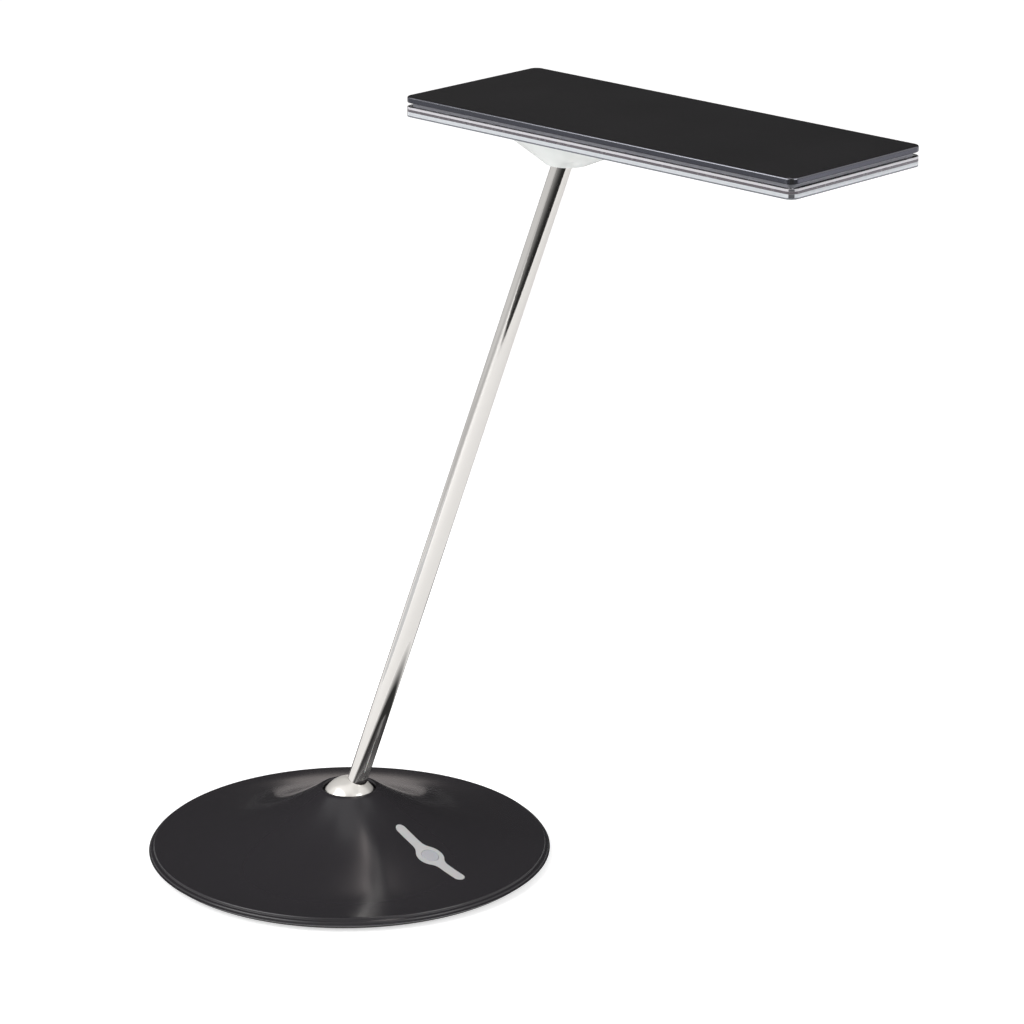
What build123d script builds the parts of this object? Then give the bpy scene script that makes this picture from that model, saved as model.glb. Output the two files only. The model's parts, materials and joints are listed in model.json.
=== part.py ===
from build123d import *
import os
from math import atan, cos, radians, sin, sqrt

os.makedirs("parts", exist_ok=True)

# LED table lamp: a round weighted base with a flared hub, a chrome ball and stem
# that lean and turn in it, and a flat head that tilts and turns on a second ball.
# Millimetres. The origin is the centre of the base's underside, +Z is up, and +X
# runs along the head's length at rest, over the touch bar on the base.

# Fits shared by the whole lamp
RUNNING_FIT = 0.08        # radial play of a turning shaft in its bore
BALL_GAP = 0.3            # play between a ball and the seat around it
SEAT_GAP = 0.1            # play round a piece that is glued or laid in its seat
END_PLAY = 0.1            # axial play of a turning piece

# Base cover
BASE_RADIUS = 115.0
RIM_TOP = 7.4             # height that the flare runs out to at the rim
RIM_BEVEL = 4.2           # width of the bevel round the rim, seen from above
RIM_EDGE = 5.8            # height where the bevel meets the rim's upright side
RIM_SIDE_BOTTOM = 4.6
RIM_EDGE_ROUND = 0.9
SKIRT_BOTTOM = 3.2        # lower edge of the cover's side
SKIRT_UNDERCUT = 1.2
SKIRT_WALL = 2.4
LIP_RISE = 8.7            # of the lip's inner edge over the ball's centre
LIP_WIDTH = 3.7           # from the opening to where the flare begins
FLARE_START = 1.1         # height where the flare begins, over the lip's inner edge
OPENING_GAP = 0.365       # between the ball and the opening's lower edge
COVER_WALL = 2.4          # measured straight down
LIP_THICKNESS = 0.8       # of the lip's flat inner edge
HUB_WALL = 3.0
HUB_LEDGE = 2.2           # how far the hub reaches in over the swivel cup
HUB_CLEARANCE = 0.5       # between the hub and the cup below it
CUT_PAST = 1.0            # extra length of a cut beyond the face that it leaves

# Base pan, rubber feet and weight
PAN_INSET = 2.6           # of the pan's edge from the cover's
PAN_BOTTOM = 0.7
PAN_TOP = 3.1
PAN_UNDERCUT = 2.9
PAN_EDGE_RISE = 0.4
RUBBER_INSET = 10.4       # from the pan's edge to the middle of the ring
RUBBER_WIDTH = 8.0
RUBBER_DEPTH = 0.8        # how far it sits in the pan
CENTRE_PAD_RADIUS = 12.0
WEIGHT_INNER = 35.0
WEIGHT_INSET = 19.0       # of the weight's outer side from the cover's edge
WEIGHT_LIFT = 0.1
WEIGHT_GAP = 1.2          # between the weight and the cover above it
POCKET_INWARD = 18.6      # the pocket for the control board, from the bar's middle
POCKET_OUTWARD = 19.4
POCKET_WIDTH = 26.0

# Screws of the base
COVER_BOSS_RADIUS = 4.0
COVER_BOSS_DISTANCE = 52.0
COVER_BOSS_ANGLES = (60, 120, 240, 300)
SCREW_RADIUS = 1.5
SCREW_HEAD_RADIUS = 2.8
SCREW_HEAD_HEIGHT = 1.4
PAN_SCREW_LENGTH = 9.0
HOUSING_SCREW_DISTANCE = 28.5
HOUSING_SCREW_ANGLES = (90, 210, 330)
HOUSING_SCREW_LENGTH = 4.6

# Stem and its ball
BALL_RADIUS = 16.5
STEM_RADIUS = 5.6
STEM_WALL = 1.0
STEM_TILT = 17.66         # from upright, as photographed
STEM_AZIMUTH = 30.71
BALL_SPACING = 409.7      # between the centres of the two balls
STEM_SEAT = 4.0           # how far the tube passes the ball's centre
TRUNNION_RADIUS = 2.0
TRUNNION_INSET = 0.4      # of the pins' ends from the cup's outer side
BALL_LEAD_BORE = 3.0

# Swivel cup that carries the ball
CUP_WALL = 3.8            # beside the ball
CUP_BOTTOM_WALL = 3.6     # under the ball
CAP_RISE = 3.9            # of the cap's top over the ball's centre
SPIGOT_RADIUS = 6.4
SPIGOT_BOTTOM = 3.4
SPIGOT_BORE = 3.2
CAP_SCREW_INSET = 2.1     # from the cup's outer side
CAP_SCREW_RADIUS = 0.9
CAP_SCREW_HEAD = 1.5
CAP_SCREW_LENGTH = 8.0
NUT_LIFT = 0.1            # of the nut above the spigot's end
NUT_HEIGHT = 2.2
NUT_ACROSS = 20.0
SWIVEL_WASHER = 0.8
STOP_TOOTH_ANGLE = 8.0
STOP_BLOCK_ANGLE = 10.0
STOP_HEIGHT = 2.0
STOP_REACH = 1.2

# Housing of the cup
HOUSING_WALL = 2.4
HOUSING_SUNK = 0.4        # the housing ends this far below the cup's cap
HOUSING_FLOOR = 2.4
HOUSING_FLANGE = 34.0
FLANGE_TOP = 6.6
NUT_ROOM_RADIUS = 18.0

# Touch bar and dimmer button on the base
BAR_INWARD = 2.2          # of its middle from halfway between the lip and the edge
BAR_HALF_LENGTH = 22.6    # from the centre to the middle of each round end
BAR_WIDTH = 6.4
BAR_BULGE = 8.0
BAR_BLEND = 7.0
BAR_PROUD = 0.2
BUTTON_RADIUS = 5.0
BUTTON_GAP = 0.12
BUTTON_PROUD = 0.35
BUTTON_FLANGE = 6.2
BUTTON_FLANGE_HEIGHT = 0.8
BUTTON_TRAVEL = 0.5
PLUNGER_RADIUS = 1.5
PLUNGER_LENGTH = 0.7

# Control board
BOARD_LENGTH = 30.0
BOARD_WIDTH = 20.0
BOARD_THICKNESS = 1.0
SWITCH_SIZE = 6.0
SWITCH_HEIGHT = 1.1
BOARD_SCREW_X = 11.5
BOARD_SCREW_Y = 8.0
BOARD_SCREW_RADIUS = 1.0
BOARD_BOSS_RADIUS = 2.4
BAR_LED_X = 9.5

# Power inlet in the back of the base
TUNNEL_WIDTH = 9.0
TUNNEL_TOP = 5.2
TUNNEL_LENGTH = 31.0      # from the cover's edge to the socket's face
INLET_LENGTH = 12.0
INLET_WIDTH = 8.0
INLET_BOTTOM = 1.0
INLET_TOP = 6.0
INLET_AXIS = 3.4
INLET_BORE = 1.9
INLET_BORE_DEPTH = 9.0
INLET_PIN_RADIUS = 0.6
INLET_BOARD_WIDTH = 18.0
INLET_BOARD_LENGTH = 19.0
INLET_POST_RADIUS = 1.9
INLET_POST_BEHIND = 3.0   # from the socket's back to the posts
INLET_POST_Y = 6.4
INLET_ROOM_WIDTH = 22.0
INLET_ROOM_BEHIND = 4.0   # room in the weight behind the inlet's board
POWER_LEAD_RADIUS = 1.2
LEAD_LEVEL = 8.5
LEAD_LOOP = 29.0
LEAD_BEND = 6.0
LEAD_TURN = 22.0
LEAD_END_BEND = 3.0
LEAD_START_LAP = 0.5      # how far the lead lies over the inlet's board
LEAD_END_INSET = 2.5      # of its end from the control board's edge

# Upper ball joint
TOP_BALL_RADIUS = 8.0
TOP_BALL_FLAT = 6.2       # the ball is cut flat this far below its centre
TOP_SPIGOT_RADIUS = 3.5
TOP_LEAD_BORE = 1.8
STEM_END = 6.5            # the tube ends this far below the upper ball's centre
BUSH_LENGTH = 14.0
CLIP_THICKNESS = 1.0
CLIP_GROOVE = 0.6
CLIP_OUTER = 4.4
SPIGOT_TAIL = 1.0
CROSS_PIN_RADIUS = 1.2
CROSS_PIN_INNER = 2.6
CROSS_PIN_REACH = 9.6
STEM_LEAD_RADIUS = 1.6
LEAD_GRIP_LENGTH = 6.0
LEAD_GRIP_LOW = 20.0
LEAD_GRIP_HIGH = 345.0
LEAD_START = 8.0
LEAD_END = 365.0

# Head cup and its bearing
HEAD_CUP_RADIUS = 9.8
HEAD_CUP_BOTTOM = -1.9
HEAD_CUP_TOP = 9.9
CUP_SLOT_GAP = 0.6        # room for the stem between the cup's two ears
CUP_SLOT_TOP = 5.0
SPINDLE_RADIUS = 5.0
SPINDLE_BORE = 2.5
SPINDLE_TOP = 24.3
BOSS_RADIUS = 8.0
BOSS_FLANGE_RADIUS = 12.0
SPINDLE_WASHER = 0.4
SPINDLE_NUT_RADIUS = 7.2
BOSS_SUNK = 0.5           # the boss ends this far below the neck's top

# Head, its heights measured from the upper ball's centre
HEAD_LENGTH = 271.0
HEAD_WIDTH = 104.5
HEAD_BACK = 71.9          # from the ball's axis to the head's near short end
HEAD_CORNER = 5.0
FUNNEL_BOTTOM = -7.9      # low enough to hide the ball and the stem's end
PLATE_BOTTOM = 15.2
PLATE_THICKNESS = 5.4
NECK_HEIGHT = 2.2
NECK_INSET = 2.5
NECK_WALL = 7.0
COVER_THICKNESS = 3.3
COVER_ROUND = 0.9
PLATE_EDGE = 0.35
FUNNEL_MOUTH = 11.8
FUNNEL_MOUTH_ROUND = 1.2
FUNNEL_BORE_MOUTH = 10.2
FUNNEL_BORE_HIGH = 16.0
FUNNEL_BORE_TOP = 11.5
FUNNEL_LONG = 66.0        # half of the oval top, along the head
FUNNEL_SHORT = 30.0       # and across it
NUT_RECESS_RADIUS = 9.0
NUT_RECESS_ROOM = 0.4     # between the spindle's end and the top cover

# Light source in the head
LED_BOARD_THICKNESS = 1.0
LED_LENGTH = 3.5
LED_WIDTH = 2.8
LED_HEIGHT = 0.8
LED_PITCH_X = 26.0        # the leds stand evenly on both sides of the ball's axis
LED_PITCH_Y = 22.0
LED_EDGE_ROOM = 5.0       # least room from a led to the window's edge
REFLECTOR_THICKNESS = 0.5
REFLECTOR_WINDOW = 1.0
PLATE_SCREW_INSET = 6.8
PLATE_SCREW_RADIUS = 1.25
PLATE_SCREW_HEAD = 2.4
PLATE_SCREW_HEAD_HEIGHT = 1.3
PLATE_SCREW_TIP = 1.8     # how far the screws reach into the top cover

# Values worked out from those above
CUP_REST = SPIGOT_BOTTOM + NUT_LIFT + NUT_HEIGHT + SWIVEL_WASHER + END_PLAY + HOUSING_FLOOR
CUP_FLOOR = CUP_REST + END_PLAY
CAVITY_RADIUS = BALL_RADIUS + BALL_GAP
BALL_HEIGHT = CUP_FLOOR + CUP_BOTTOM_WALL + CAVITY_RADIUS
CUP_RADIUS = CAVITY_RADIUS + CUP_WALL
CAP_TOP = BALL_HEIGHT + CAP_RISE
CAP_SCREW_CIRCLE = CUP_RADIUS - CAP_SCREW_INSET
TRUNNION_REACH = CUP_RADIUS - TRUNNION_INSET
LIP_BASE = BALL_HEIGHT + LIP_RISE
SEAT_TOP = LIP_BASE - LIP_THICKNESS
OPENING_RADIUS = sqrt((BALL_RADIUS + OPENING_GAP) ** 2 - (SEAT_TOP - BALL_HEIGHT) ** 2)
FLARE_RADIUS = OPENING_RADIUS + LIP_WIDTH
FLARE_HEIGHT = LIP_BASE + FLARE_START
FLARE_RATE = (FLARE_HEIGHT - RIM_TOP) / (BASE_RADIUS - FLARE_RADIUS) ** 2
RIM_START = BASE_RADIUS - RIM_BEVEL
PAN_RADIUS = BASE_RADIUS - PAN_INSET
RUBBER_RADIUS = PAN_RADIUS - RUBBER_INSET
WEIGHT_OUTER = BASE_RADIUS - WEIGHT_INSET
BAR_CENTRE = (FLARE_RADIUS + BASE_RADIUS) / 2 - BAR_INWARD
INLET_FACE = BASE_RADIUS - TUNNEL_LENGTH
INLET_ROOM_INNER = INLET_FACE - INLET_BOARD_LENGTH - INLET_ROOM_BEHIND
HOUSING_BORE = CUP_RADIUS + RUNNING_FIT
HOUSING_RADIUS = HOUSING_BORE + HOUSING_WALL
HUB_BORE = CUP_RADIUS - HUB_LEDGE
HOUSING_TOP = CAP_TOP - HOUSING_SUNK
NUT_BOTTOM = SPIGOT_BOTTOM + NUT_LIFT
NUT_RECESS_TOP = SPINDLE_TOP + NUT_RECESS_ROOM
SEAT_RADIUS = HUB_BORE - SEAT_GAP
HUB_SKIRT_BOTTOM = CAP_TOP + HUB_CLEARANCE
STEM_BORE = STEM_RADIUS - STEM_WALL
TUBE_END = BALL_SPACING - STEM_END
PLATE_TOP = PLATE_BOTTOM + PLATE_THICKNESS
NECK_TOP = PLATE_TOP + NECK_HEIGHT
HEAD_MIDDLE = HEAD_LENGTH / 2 - HEAD_BACK
BOSS_BOTTOM = HEAD_CUP_TOP + END_PLAY
BOSS_TOP = NECK_TOP - BOSS_SUNK
LED_BOARD_BOTTOM = NECK_TOP - LED_BOARD_THICKNESS
LED_BOTTOM = LED_BOARD_BOTTOM - LED_HEIGHT
WINDOW_LENGTH = HEAD_LENGTH - 2 * (NECK_INSET + NECK_WALL)
WINDOW_WIDTH = HEAD_WIDTH - 2 * (NECK_INSET + NECK_WALL)


def surface_height(radius):
    """Height of the cover's upper surface at a distance from the centre."""
    return RIM_TOP + FLARE_RATE * (BASE_RADIUS - radius) ** 2


def surface_slope(radius):
    """Fall of that surface for each millimetre outward."""
    return 2 * FLARE_RATE * (BASE_RADIUS - radius)


def flare_curve(inner, outer, drop=0.0):
    """The flare's parabola from one radius to another, moved down by drop."""
    start = (inner, surface_height(inner) - drop)
    end = (outer, surface_height(outer) - drop)
    middle = ((inner + outer) / 2, start[1] - surface_slope(inner) * (outer - inner) / 2)
    return Bezier(start, middle, end)


def led_line(reach, pitch, size):
    """Middles of the leds from the ball's axis out to the window's edge at reach."""
    count = int((reach - size / 2 - LED_EDGE_ROOM) / pitch + 1 / 2)
    return [pitch * (step + 1 / 2) for step in range(count)]


def section_of(frame):
    """The upright plane through a frame's axis, for profiles that are revolved."""
    return Plane(origin=frame.origin, x_dir=frame.x_dir, z_dir=-frame.y_dir)


def pin_plane(frame):
    """The plane square to a hinge pin that lies along the frame's Y."""
    return Plane(origin=frame.origin, x_dir=frame.x_dir, z_dir=frame.y_dir)


def axis_of(frame):
    """The axis that a frame's round pieces turn about."""
    return Axis(frame.origin, frame.z_dir)


def save(piece, name):
    """Labels a finished piece and writes it."""
    piece.part.label = name
    export_step(piece.part, f"parts/{name}.step")


# Frames. The lean frame is level, with X towards the side the stem leans to, so its
# Y is the trunnion's axis. The stem frame is that one tilted with the stem.
tilt = radians(STEM_TILT)
azimuth = radians(STEM_AZIMUTH)
lean_direction = Vector(cos(azimuth), sin(azimuth), 0)
stem_direction = Vector(sin(tilt) * cos(azimuth), sin(tilt) * sin(azimuth), cos(tilt))
stem_across = Vector(cos(tilt) * cos(azimuth), cos(tilt) * sin(azimuth), -sin(tilt))
ball_centre = Vector(0, 0, BALL_HEIGHT)
top_centre = ball_centre + stem_direction * BALL_SPACING
base_frame = Plane.XY
lean_frame = Plane(origin=ball_centre, x_dir=lean_direction, z_dir=(0, 0, 1))
stem_frame = Plane(origin=ball_centre, x_dir=stem_across, z_dir=stem_direction)
top_frame = Plane(origin=top_centre, x_dir=stem_across, z_dir=stem_direction)
cup_frame = Plane(origin=top_centre, x_dir=lean_direction, z_dir=(0, 0, 1))
head_frame = Plane(origin=top_centre, x_dir=(1, 0, 0), z_dir=(0, 0, 1))
button_tilt = atan(surface_slope(BAR_CENTRE))
button_frame = Plane(
    origin=(BAR_CENTRE, 0, surface_height(BAR_CENTRE)),
    x_dir=(cos(button_tilt), 0, -sin(button_tilt)),
    z_dir=(sin(button_tilt), 0, cos(button_tilt)),
)
wall_below_button = COVER_WALL * cos(button_tilt)
flange_top = -wall_below_button - SEAT_GAP
flange_bottom = flange_top - BUTTON_FLANGE_HEIGHT
plunger_tip = flange_bottom - PLUNGER_LENGTH
switch_top = plunger_tip - BUTTON_TRAVEL - END_PLAY
board_top = switch_top - SWITCH_HEIGHT
board_bottom = board_top - BOARD_THICKNESS


def bar_outline(grow=0.0):
    """The touch bar seen from above: a slim bar with a round swelling."""
    with BuildSketch(Plane.XY) as outline:
        with Locations((BAR_CENTRE, 0)):
            SlotCenterToCenter(2 * BAR_HALF_LENGTH, BAR_WIDTH)
            Circle(BAR_BULGE)
        inside = outline.vertices().filter_by(lambda v: abs(v.X - BAR_CENTRE) < BAR_BULGE)
        fillet(inside, BAR_BLEND)
        if grow:
            offset(amount=grow)
    return outline.sketch


# Base cover: one pressed shell with a rounded lip, a flare and a rolled rim
with BuildPart() as base_cover:
    with BuildSketch(Plane.XZ) as cover_profile:
        with BuildLine():
            lip_peak = FLARE_HEIGHT + surface_slope(FLARE_RADIUS) * (FLARE_RADIUS - OPENING_RADIUS)
            Bezier(
                (OPENING_RADIUS, LIP_BASE),
                (OPENING_RADIUS, lip_peak),
                (FLARE_RADIUS, FLARE_HEIGHT),
            )
            flare_curve(FLARE_RADIUS, RIM_START)
            skirt_inner = BASE_RADIUS - SKIRT_WALL
            hub_outer = HUB_BORE + HUB_WALL
            Polyline(
                (RIM_START, surface_height(RIM_START)),
                (BASE_RADIUS, RIM_EDGE),
                (BASE_RADIUS, RIM_SIDE_BOTTOM),
                (BASE_RADIUS - SKIRT_UNDERCUT, SKIRT_BOTTOM),
                (skirt_inner, SKIRT_BOTTOM),
                (skirt_inner, surface_height(skirt_inner) - COVER_WALL),
            )
            flare_curve(hub_outer, skirt_inner, COVER_WALL)
            Polyline(
                (hub_outer, surface_height(hub_outer) - COVER_WALL),
                (hub_outer, HUB_SKIRT_BOTTOM),
                (HUB_BORE, HUB_SKIRT_BOTTOM),
                (HUB_BORE, SEAT_TOP),
                (OPENING_RADIUS, SEAT_TOP),
                (OPENING_RADIUS, LIP_BASE),
            )
        make_face()
        rim_corners = [
            cover_profile.vertices().sort_by_distance(place)[0]
            for place in ((RIM_START, surface_height(RIM_START)), (BASE_RADIUS, RIM_EDGE))
        ]
        fillet(rim_corners, RIM_EDGE_ROUND)
    revolve(axis=Axis.Z)
    # bosses for the screws that come up through the pan
    boss_top = surface_height(COVER_BOSS_DISTANCE + COVER_BOSS_RADIUS) - COVER_WALL / 2
    with BuildSketch(Plane.XY.offset(PAN_TOP)):
        for angle in COVER_BOSS_ANGLES:
            with PolarLocations(COVER_BOSS_DISTANCE, 1, start_angle=angle):
                Circle(COVER_BOSS_RADIUS)
    extrude(amount=boss_top - PAN_TOP)
    with BuildSketch(Plane.XY.offset(PAN_TOP)):
        for angle in COVER_BOSS_ANGLES:
            with PolarLocations(COVER_BOSS_DISTANCE, 1, start_angle=angle):
                Circle(SCREW_RADIUS)
    extrude(amount=PAN_SCREW_LENGTH, mode=Mode.SUBTRACT)
    # bosses for the control board, square to the slope under the touch bar
    with BuildSketch(button_frame.offset(board_top)):
        with Locations((BOARD_SCREW_X, BOARD_SCREW_Y), (-BOARD_SCREW_X, -BOARD_SCREW_Y)):
            Circle(BOARD_BOSS_RADIUS)
    extrude(amount=-board_top - wall_below_button / 2)
    with BuildSketch(button_frame.offset(board_top)):
        with Locations((BOARD_SCREW_X, BOARD_SCREW_Y), (-BOARD_SCREW_X, -BOARD_SCREW_Y)):
            Circle(BOARD_SCREW_RADIUS)
    extrude(amount=-board_top - wall_below_button, mode=Mode.SUBTRACT)
    # slot for the touch bar and notch for the plug
    add(bar_outline(SEAT_GAP))
    extrude(amount=FLARE_HEIGHT, mode=Mode.SUBTRACT)
    with BuildSketch(Plane.XY):
        with Locations((-BASE_RADIUS, 0)):
            Rectangle(2 * (BASE_RADIUS - INLET_FACE), TUNNEL_WIDTH)
    extrude(amount=TUNNEL_TOP, mode=Mode.SUBTRACT)
save(base_cover, "base_cover")

# Base pan: the flat underside that everything is screwed to
with BuildPart() as base_pan:
    with BuildSketch(Plane.XZ):
        with BuildLine():
            Polyline(
                (0, PAN_BOTTOM),
                (PAN_RADIUS - PAN_UNDERCUT, PAN_BOTTOM),
            )
            Bezier(
                (PAN_RADIUS - PAN_UNDERCUT, PAN_BOTTOM),
                (PAN_RADIUS, PAN_BOTTOM + PAN_EDGE_RISE),
                (PAN_RADIUS, PAN_TOP),
            )
            Polyline((PAN_RADIUS, PAN_TOP), (0, PAN_TOP), (0, PAN_BOTTOM))
        make_face()
    revolve(axis=Axis.Z)
    with BuildSketch(Plane.XY.offset(PAN_BOTTOM)):
        Circle(RUBBER_RADIUS + RUBBER_WIDTH / 2)
        Circle(RUBBER_RADIUS - RUBBER_WIDTH / 2, mode=Mode.SUBTRACT)
        Circle(CENTRE_PAD_RADIUS)
    extrude(amount=RUBBER_DEPTH, mode=Mode.SUBTRACT)
    # posts that carry the inlet's board
    post_x = -(INLET_FACE - INLET_LENGTH - INLET_POST_BEHIND)
    with BuildSketch(Plane.XY.offset(PAN_TOP)):
        with Locations((post_x, INLET_POST_Y), (post_x, -INLET_POST_Y)):
            Circle(INLET_POST_RADIUS)
    extrude(amount=INLET_TOP - PAN_TOP)
    with BuildSketch(Plane.XY.offset(PAN_BOTTOM)):
        with Locations((post_x, INLET_POST_Y), (post_x, -INLET_POST_Y)):
            Circle(BOARD_SCREW_RADIUS)
    extrude(amount=INLET_TOP - PAN_BOTTOM, mode=Mode.SUBTRACT)
    # screw holes with room for the heads
    for circle, angles in (
        (COVER_BOSS_DISTANCE, COVER_BOSS_ANGLES),
        (HOUSING_SCREW_DISTANCE, HOUSING_SCREW_ANGLES),
    ):
        for radius, depth in ((SCREW_RADIUS, PAN_TOP), (SCREW_HEAD_RADIUS, SCREW_HEAD_HEIGHT)):
            with BuildSketch(Plane.XY.offset(PAN_BOTTOM)):
                for angle in angles:
                    with PolarLocations(circle, 1, start_angle=angle):
                        Circle(radius)
            extrude(amount=depth, mode=Mode.SUBTRACT)
    # tunnel for the plug, with the inlet at its inner end
    with BuildSketch(Plane.XY):
        with Locations((-INLET_FACE, 0)):
            Rectangle(PAN_RADIUS, TUNNEL_WIDTH, align=(Align.MAX, Align.CENTER))
        with Locations((-(INLET_FACE - INLET_LENGTH / 2), 0)):
            Rectangle(INLET_LENGTH + 2 * SEAT_GAP, INLET_WIDTH + 2 * SEAT_GAP)
    extrude(amount=PAN_TOP, mode=Mode.SUBTRACT)
save(base_pan, "base_pan")

# Rubber feet that the lamp stands on: a ring, open where the plug comes in, and a pad
with BuildPart() as rubber_feet:
    with BuildSketch(Plane.XY):
        Circle(RUBBER_RADIUS + RUBBER_WIDTH / 2)
        Circle(RUBBER_RADIUS - RUBBER_WIDTH / 2, mode=Mode.SUBTRACT)
        with Locations((-RUBBER_RADIUS, 0)):
            Rectangle(2 * RUBBER_WIDTH, TUNNEL_WIDTH, mode=Mode.SUBTRACT)
        Circle(CENTRE_PAD_RADIUS)
    extrude(amount=PAN_BOTTOM + RUBBER_DEPTH)
save(rubber_feet, "rubber_feet")

# Cast weight that follows the flare from below
with BuildPart() as base_weight:
    weight_bottom = PAN_TOP + WEIGHT_LIFT
    weight_drop = COVER_WALL + WEIGHT_GAP
    with BuildSketch(Plane.XZ):
        with BuildLine():
            flare_curve(WEIGHT_INNER, WEIGHT_OUTER, weight_drop)
            Polyline(
                (WEIGHT_OUTER, surface_height(WEIGHT_OUTER) - weight_drop),
                (WEIGHT_OUTER, weight_bottom),
                (WEIGHT_INNER, weight_bottom),
                (WEIGHT_INNER, surface_height(WEIGHT_INNER) - weight_drop),
            )
        make_face()
    revolve(axis=Axis.Z)
    with BuildSketch(Plane.XY.offset(PAN_TOP)):
        with Locations((BAR_CENTRE - POCKET_INWARD, 0)):
            Rectangle(POCKET_INWARD + POCKET_OUTWARD, POCKET_WIDTH, align=(Align.MIN, Align.CENTER))
        with Locations((-INLET_ROOM_INNER, 0)):
            Rectangle(WEIGHT_OUTER, INLET_ROOM_WIDTH, align=(Align.MAX, Align.CENTER))
        for angle in COVER_BOSS_ANGLES:
            with PolarLocations(COVER_BOSS_DISTANCE, 1, start_angle=angle):
                Circle(COVER_BOSS_RADIUS + 2 * SEAT_GAP)
    extrude(amount=FLARE_HEIGHT, mode=Mode.SUBTRACT)
    # channel for the power lead
    with BuildSketch(Plane.XY.offset(LEAD_LEVEL - POWER_LEAD_RADIUS - SEAT_GAP)):
        Rectangle(2 * (INLET_ROOM_INNER + CUT_PAST), 2 * (POWER_LEAD_RADIUS + SEAT_GAP))
    extrude(amount=FLARE_HEIGHT, mode=Mode.SUBTRACT)
save(base_weight, "base_weight")

# Screws up through the pan into the cover
with BuildPart() as pan_screws:
    for radius, length in ((SCREW_HEAD_RADIUS, SCREW_HEAD_HEIGHT), (SCREW_RADIUS, PAN_SCREW_LENGTH)):
        with BuildSketch(Plane.XY.offset(PAN_BOTTOM)):
            for angle in COVER_BOSS_ANGLES:
                with PolarLocations(COVER_BOSS_DISTANCE, 1, start_angle=angle):
                    Circle(radius)
        extrude(amount=length)
    with BuildSketch(Plane.XY.offset(PAN_BOTTOM)):
        for angle in COVER_BOSS_ANGLES:
            with PolarLocations(COVER_BOSS_DISTANCE, 1, start_angle=angle):
                RegularPolygon(SCREW_RADIUS, 6)
    extrude(amount=SCREW_HEAD_HEIGHT / 2, mode=Mode.SUBTRACT)
save(pan_screws, "pan_screws")

# Housing in which the swivel cup turns, with a stop block in its groove
with BuildPart() as hub_housing:
    floor_bottom = CUP_REST - HOUSING_FLOOR
    with BuildSketch(Plane.XZ):
        with BuildLine():
            Polyline(
                (SPIGOT_RADIUS + RUNNING_FIT, floor_bottom),
                (SPIGOT_RADIUS + RUNNING_FIT, CUP_REST),
                (HOUSING_BORE, CUP_REST),
                (HOUSING_BORE, HOUSING_TOP),
                (HOUSING_RADIUS, HOUSING_TOP),
                (HOUSING_RADIUS, FLANGE_TOP),
                (HOUSING_FLANGE, FLANGE_TOP),
                (HOUSING_FLANGE, PAN_TOP),
                (NUT_ROOM_RADIUS, PAN_TOP),
                (NUT_ROOM_RADIUS, floor_bottom),
                close=True,
            )
        make_face()
    revolve(axis=Axis.Z)
    with BuildSketch(section_of(base_frame.rotated((0, 0, STEM_AZIMUTH + 180 + STOP_BLOCK_ANGLE / 2)))):
        with Locations((0, CUP_REST)):
            Rectangle(
                HOUSING_BORE + STOP_REACH + SEAT_GAP, STOP_HEIGHT + 2 * SEAT_GAP,
                align=(Align.MIN, Align.MIN),
            )
    revolve(axis=Axis.Z, revolution_arc=360 - STOP_BLOCK_ANGLE, mode=Mode.SUBTRACT)
    with BuildSketch(Plane.XY.offset(PAN_TOP)):
        for angle in HOUSING_SCREW_ANGLES:
            with PolarLocations(HOUSING_SCREW_DISTANCE, 1, start_angle=angle):
                Circle(SCREW_RADIUS)
    extrude(amount=HOUSING_SCREW_LENGTH - (PAN_TOP - PAN_BOTTOM), mode=Mode.SUBTRACT)
save(hub_housing, "hub_housing")

with BuildPart() as housing_screws:
    for radius, length in ((SCREW_HEAD_RADIUS, SCREW_HEAD_HEIGHT), (SCREW_RADIUS, HOUSING_SCREW_LENGTH)):
        with BuildSketch(Plane.XY.offset(PAN_BOTTOM)):
            for angle in HOUSING_SCREW_ANGLES:
                with PolarLocations(HOUSING_SCREW_DISTANCE, 1, start_angle=angle):
                    Circle(radius)
        extrude(amount=length)
save(housing_screws, "housing_screws")

# Plastic ring under the lip that closes the gap round the ball
with BuildPart() as seat_ring:
    with BuildSketch(Plane.XZ):
        with Locations((0, HUB_SKIRT_BOTTOM)):
            Rectangle(SEAT_RADIUS, SEAT_TOP - SEAT_GAP - HUB_SKIRT_BOTTOM, align=(Align.MIN, Align.MIN))
        with Locations((0, BALL_HEIGHT)):
            Circle(CAVITY_RADIUS, mode=Mode.SUBTRACT)
    revolve(axis=Axis.Z)
save(seat_ring, "seat_ring")

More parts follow.
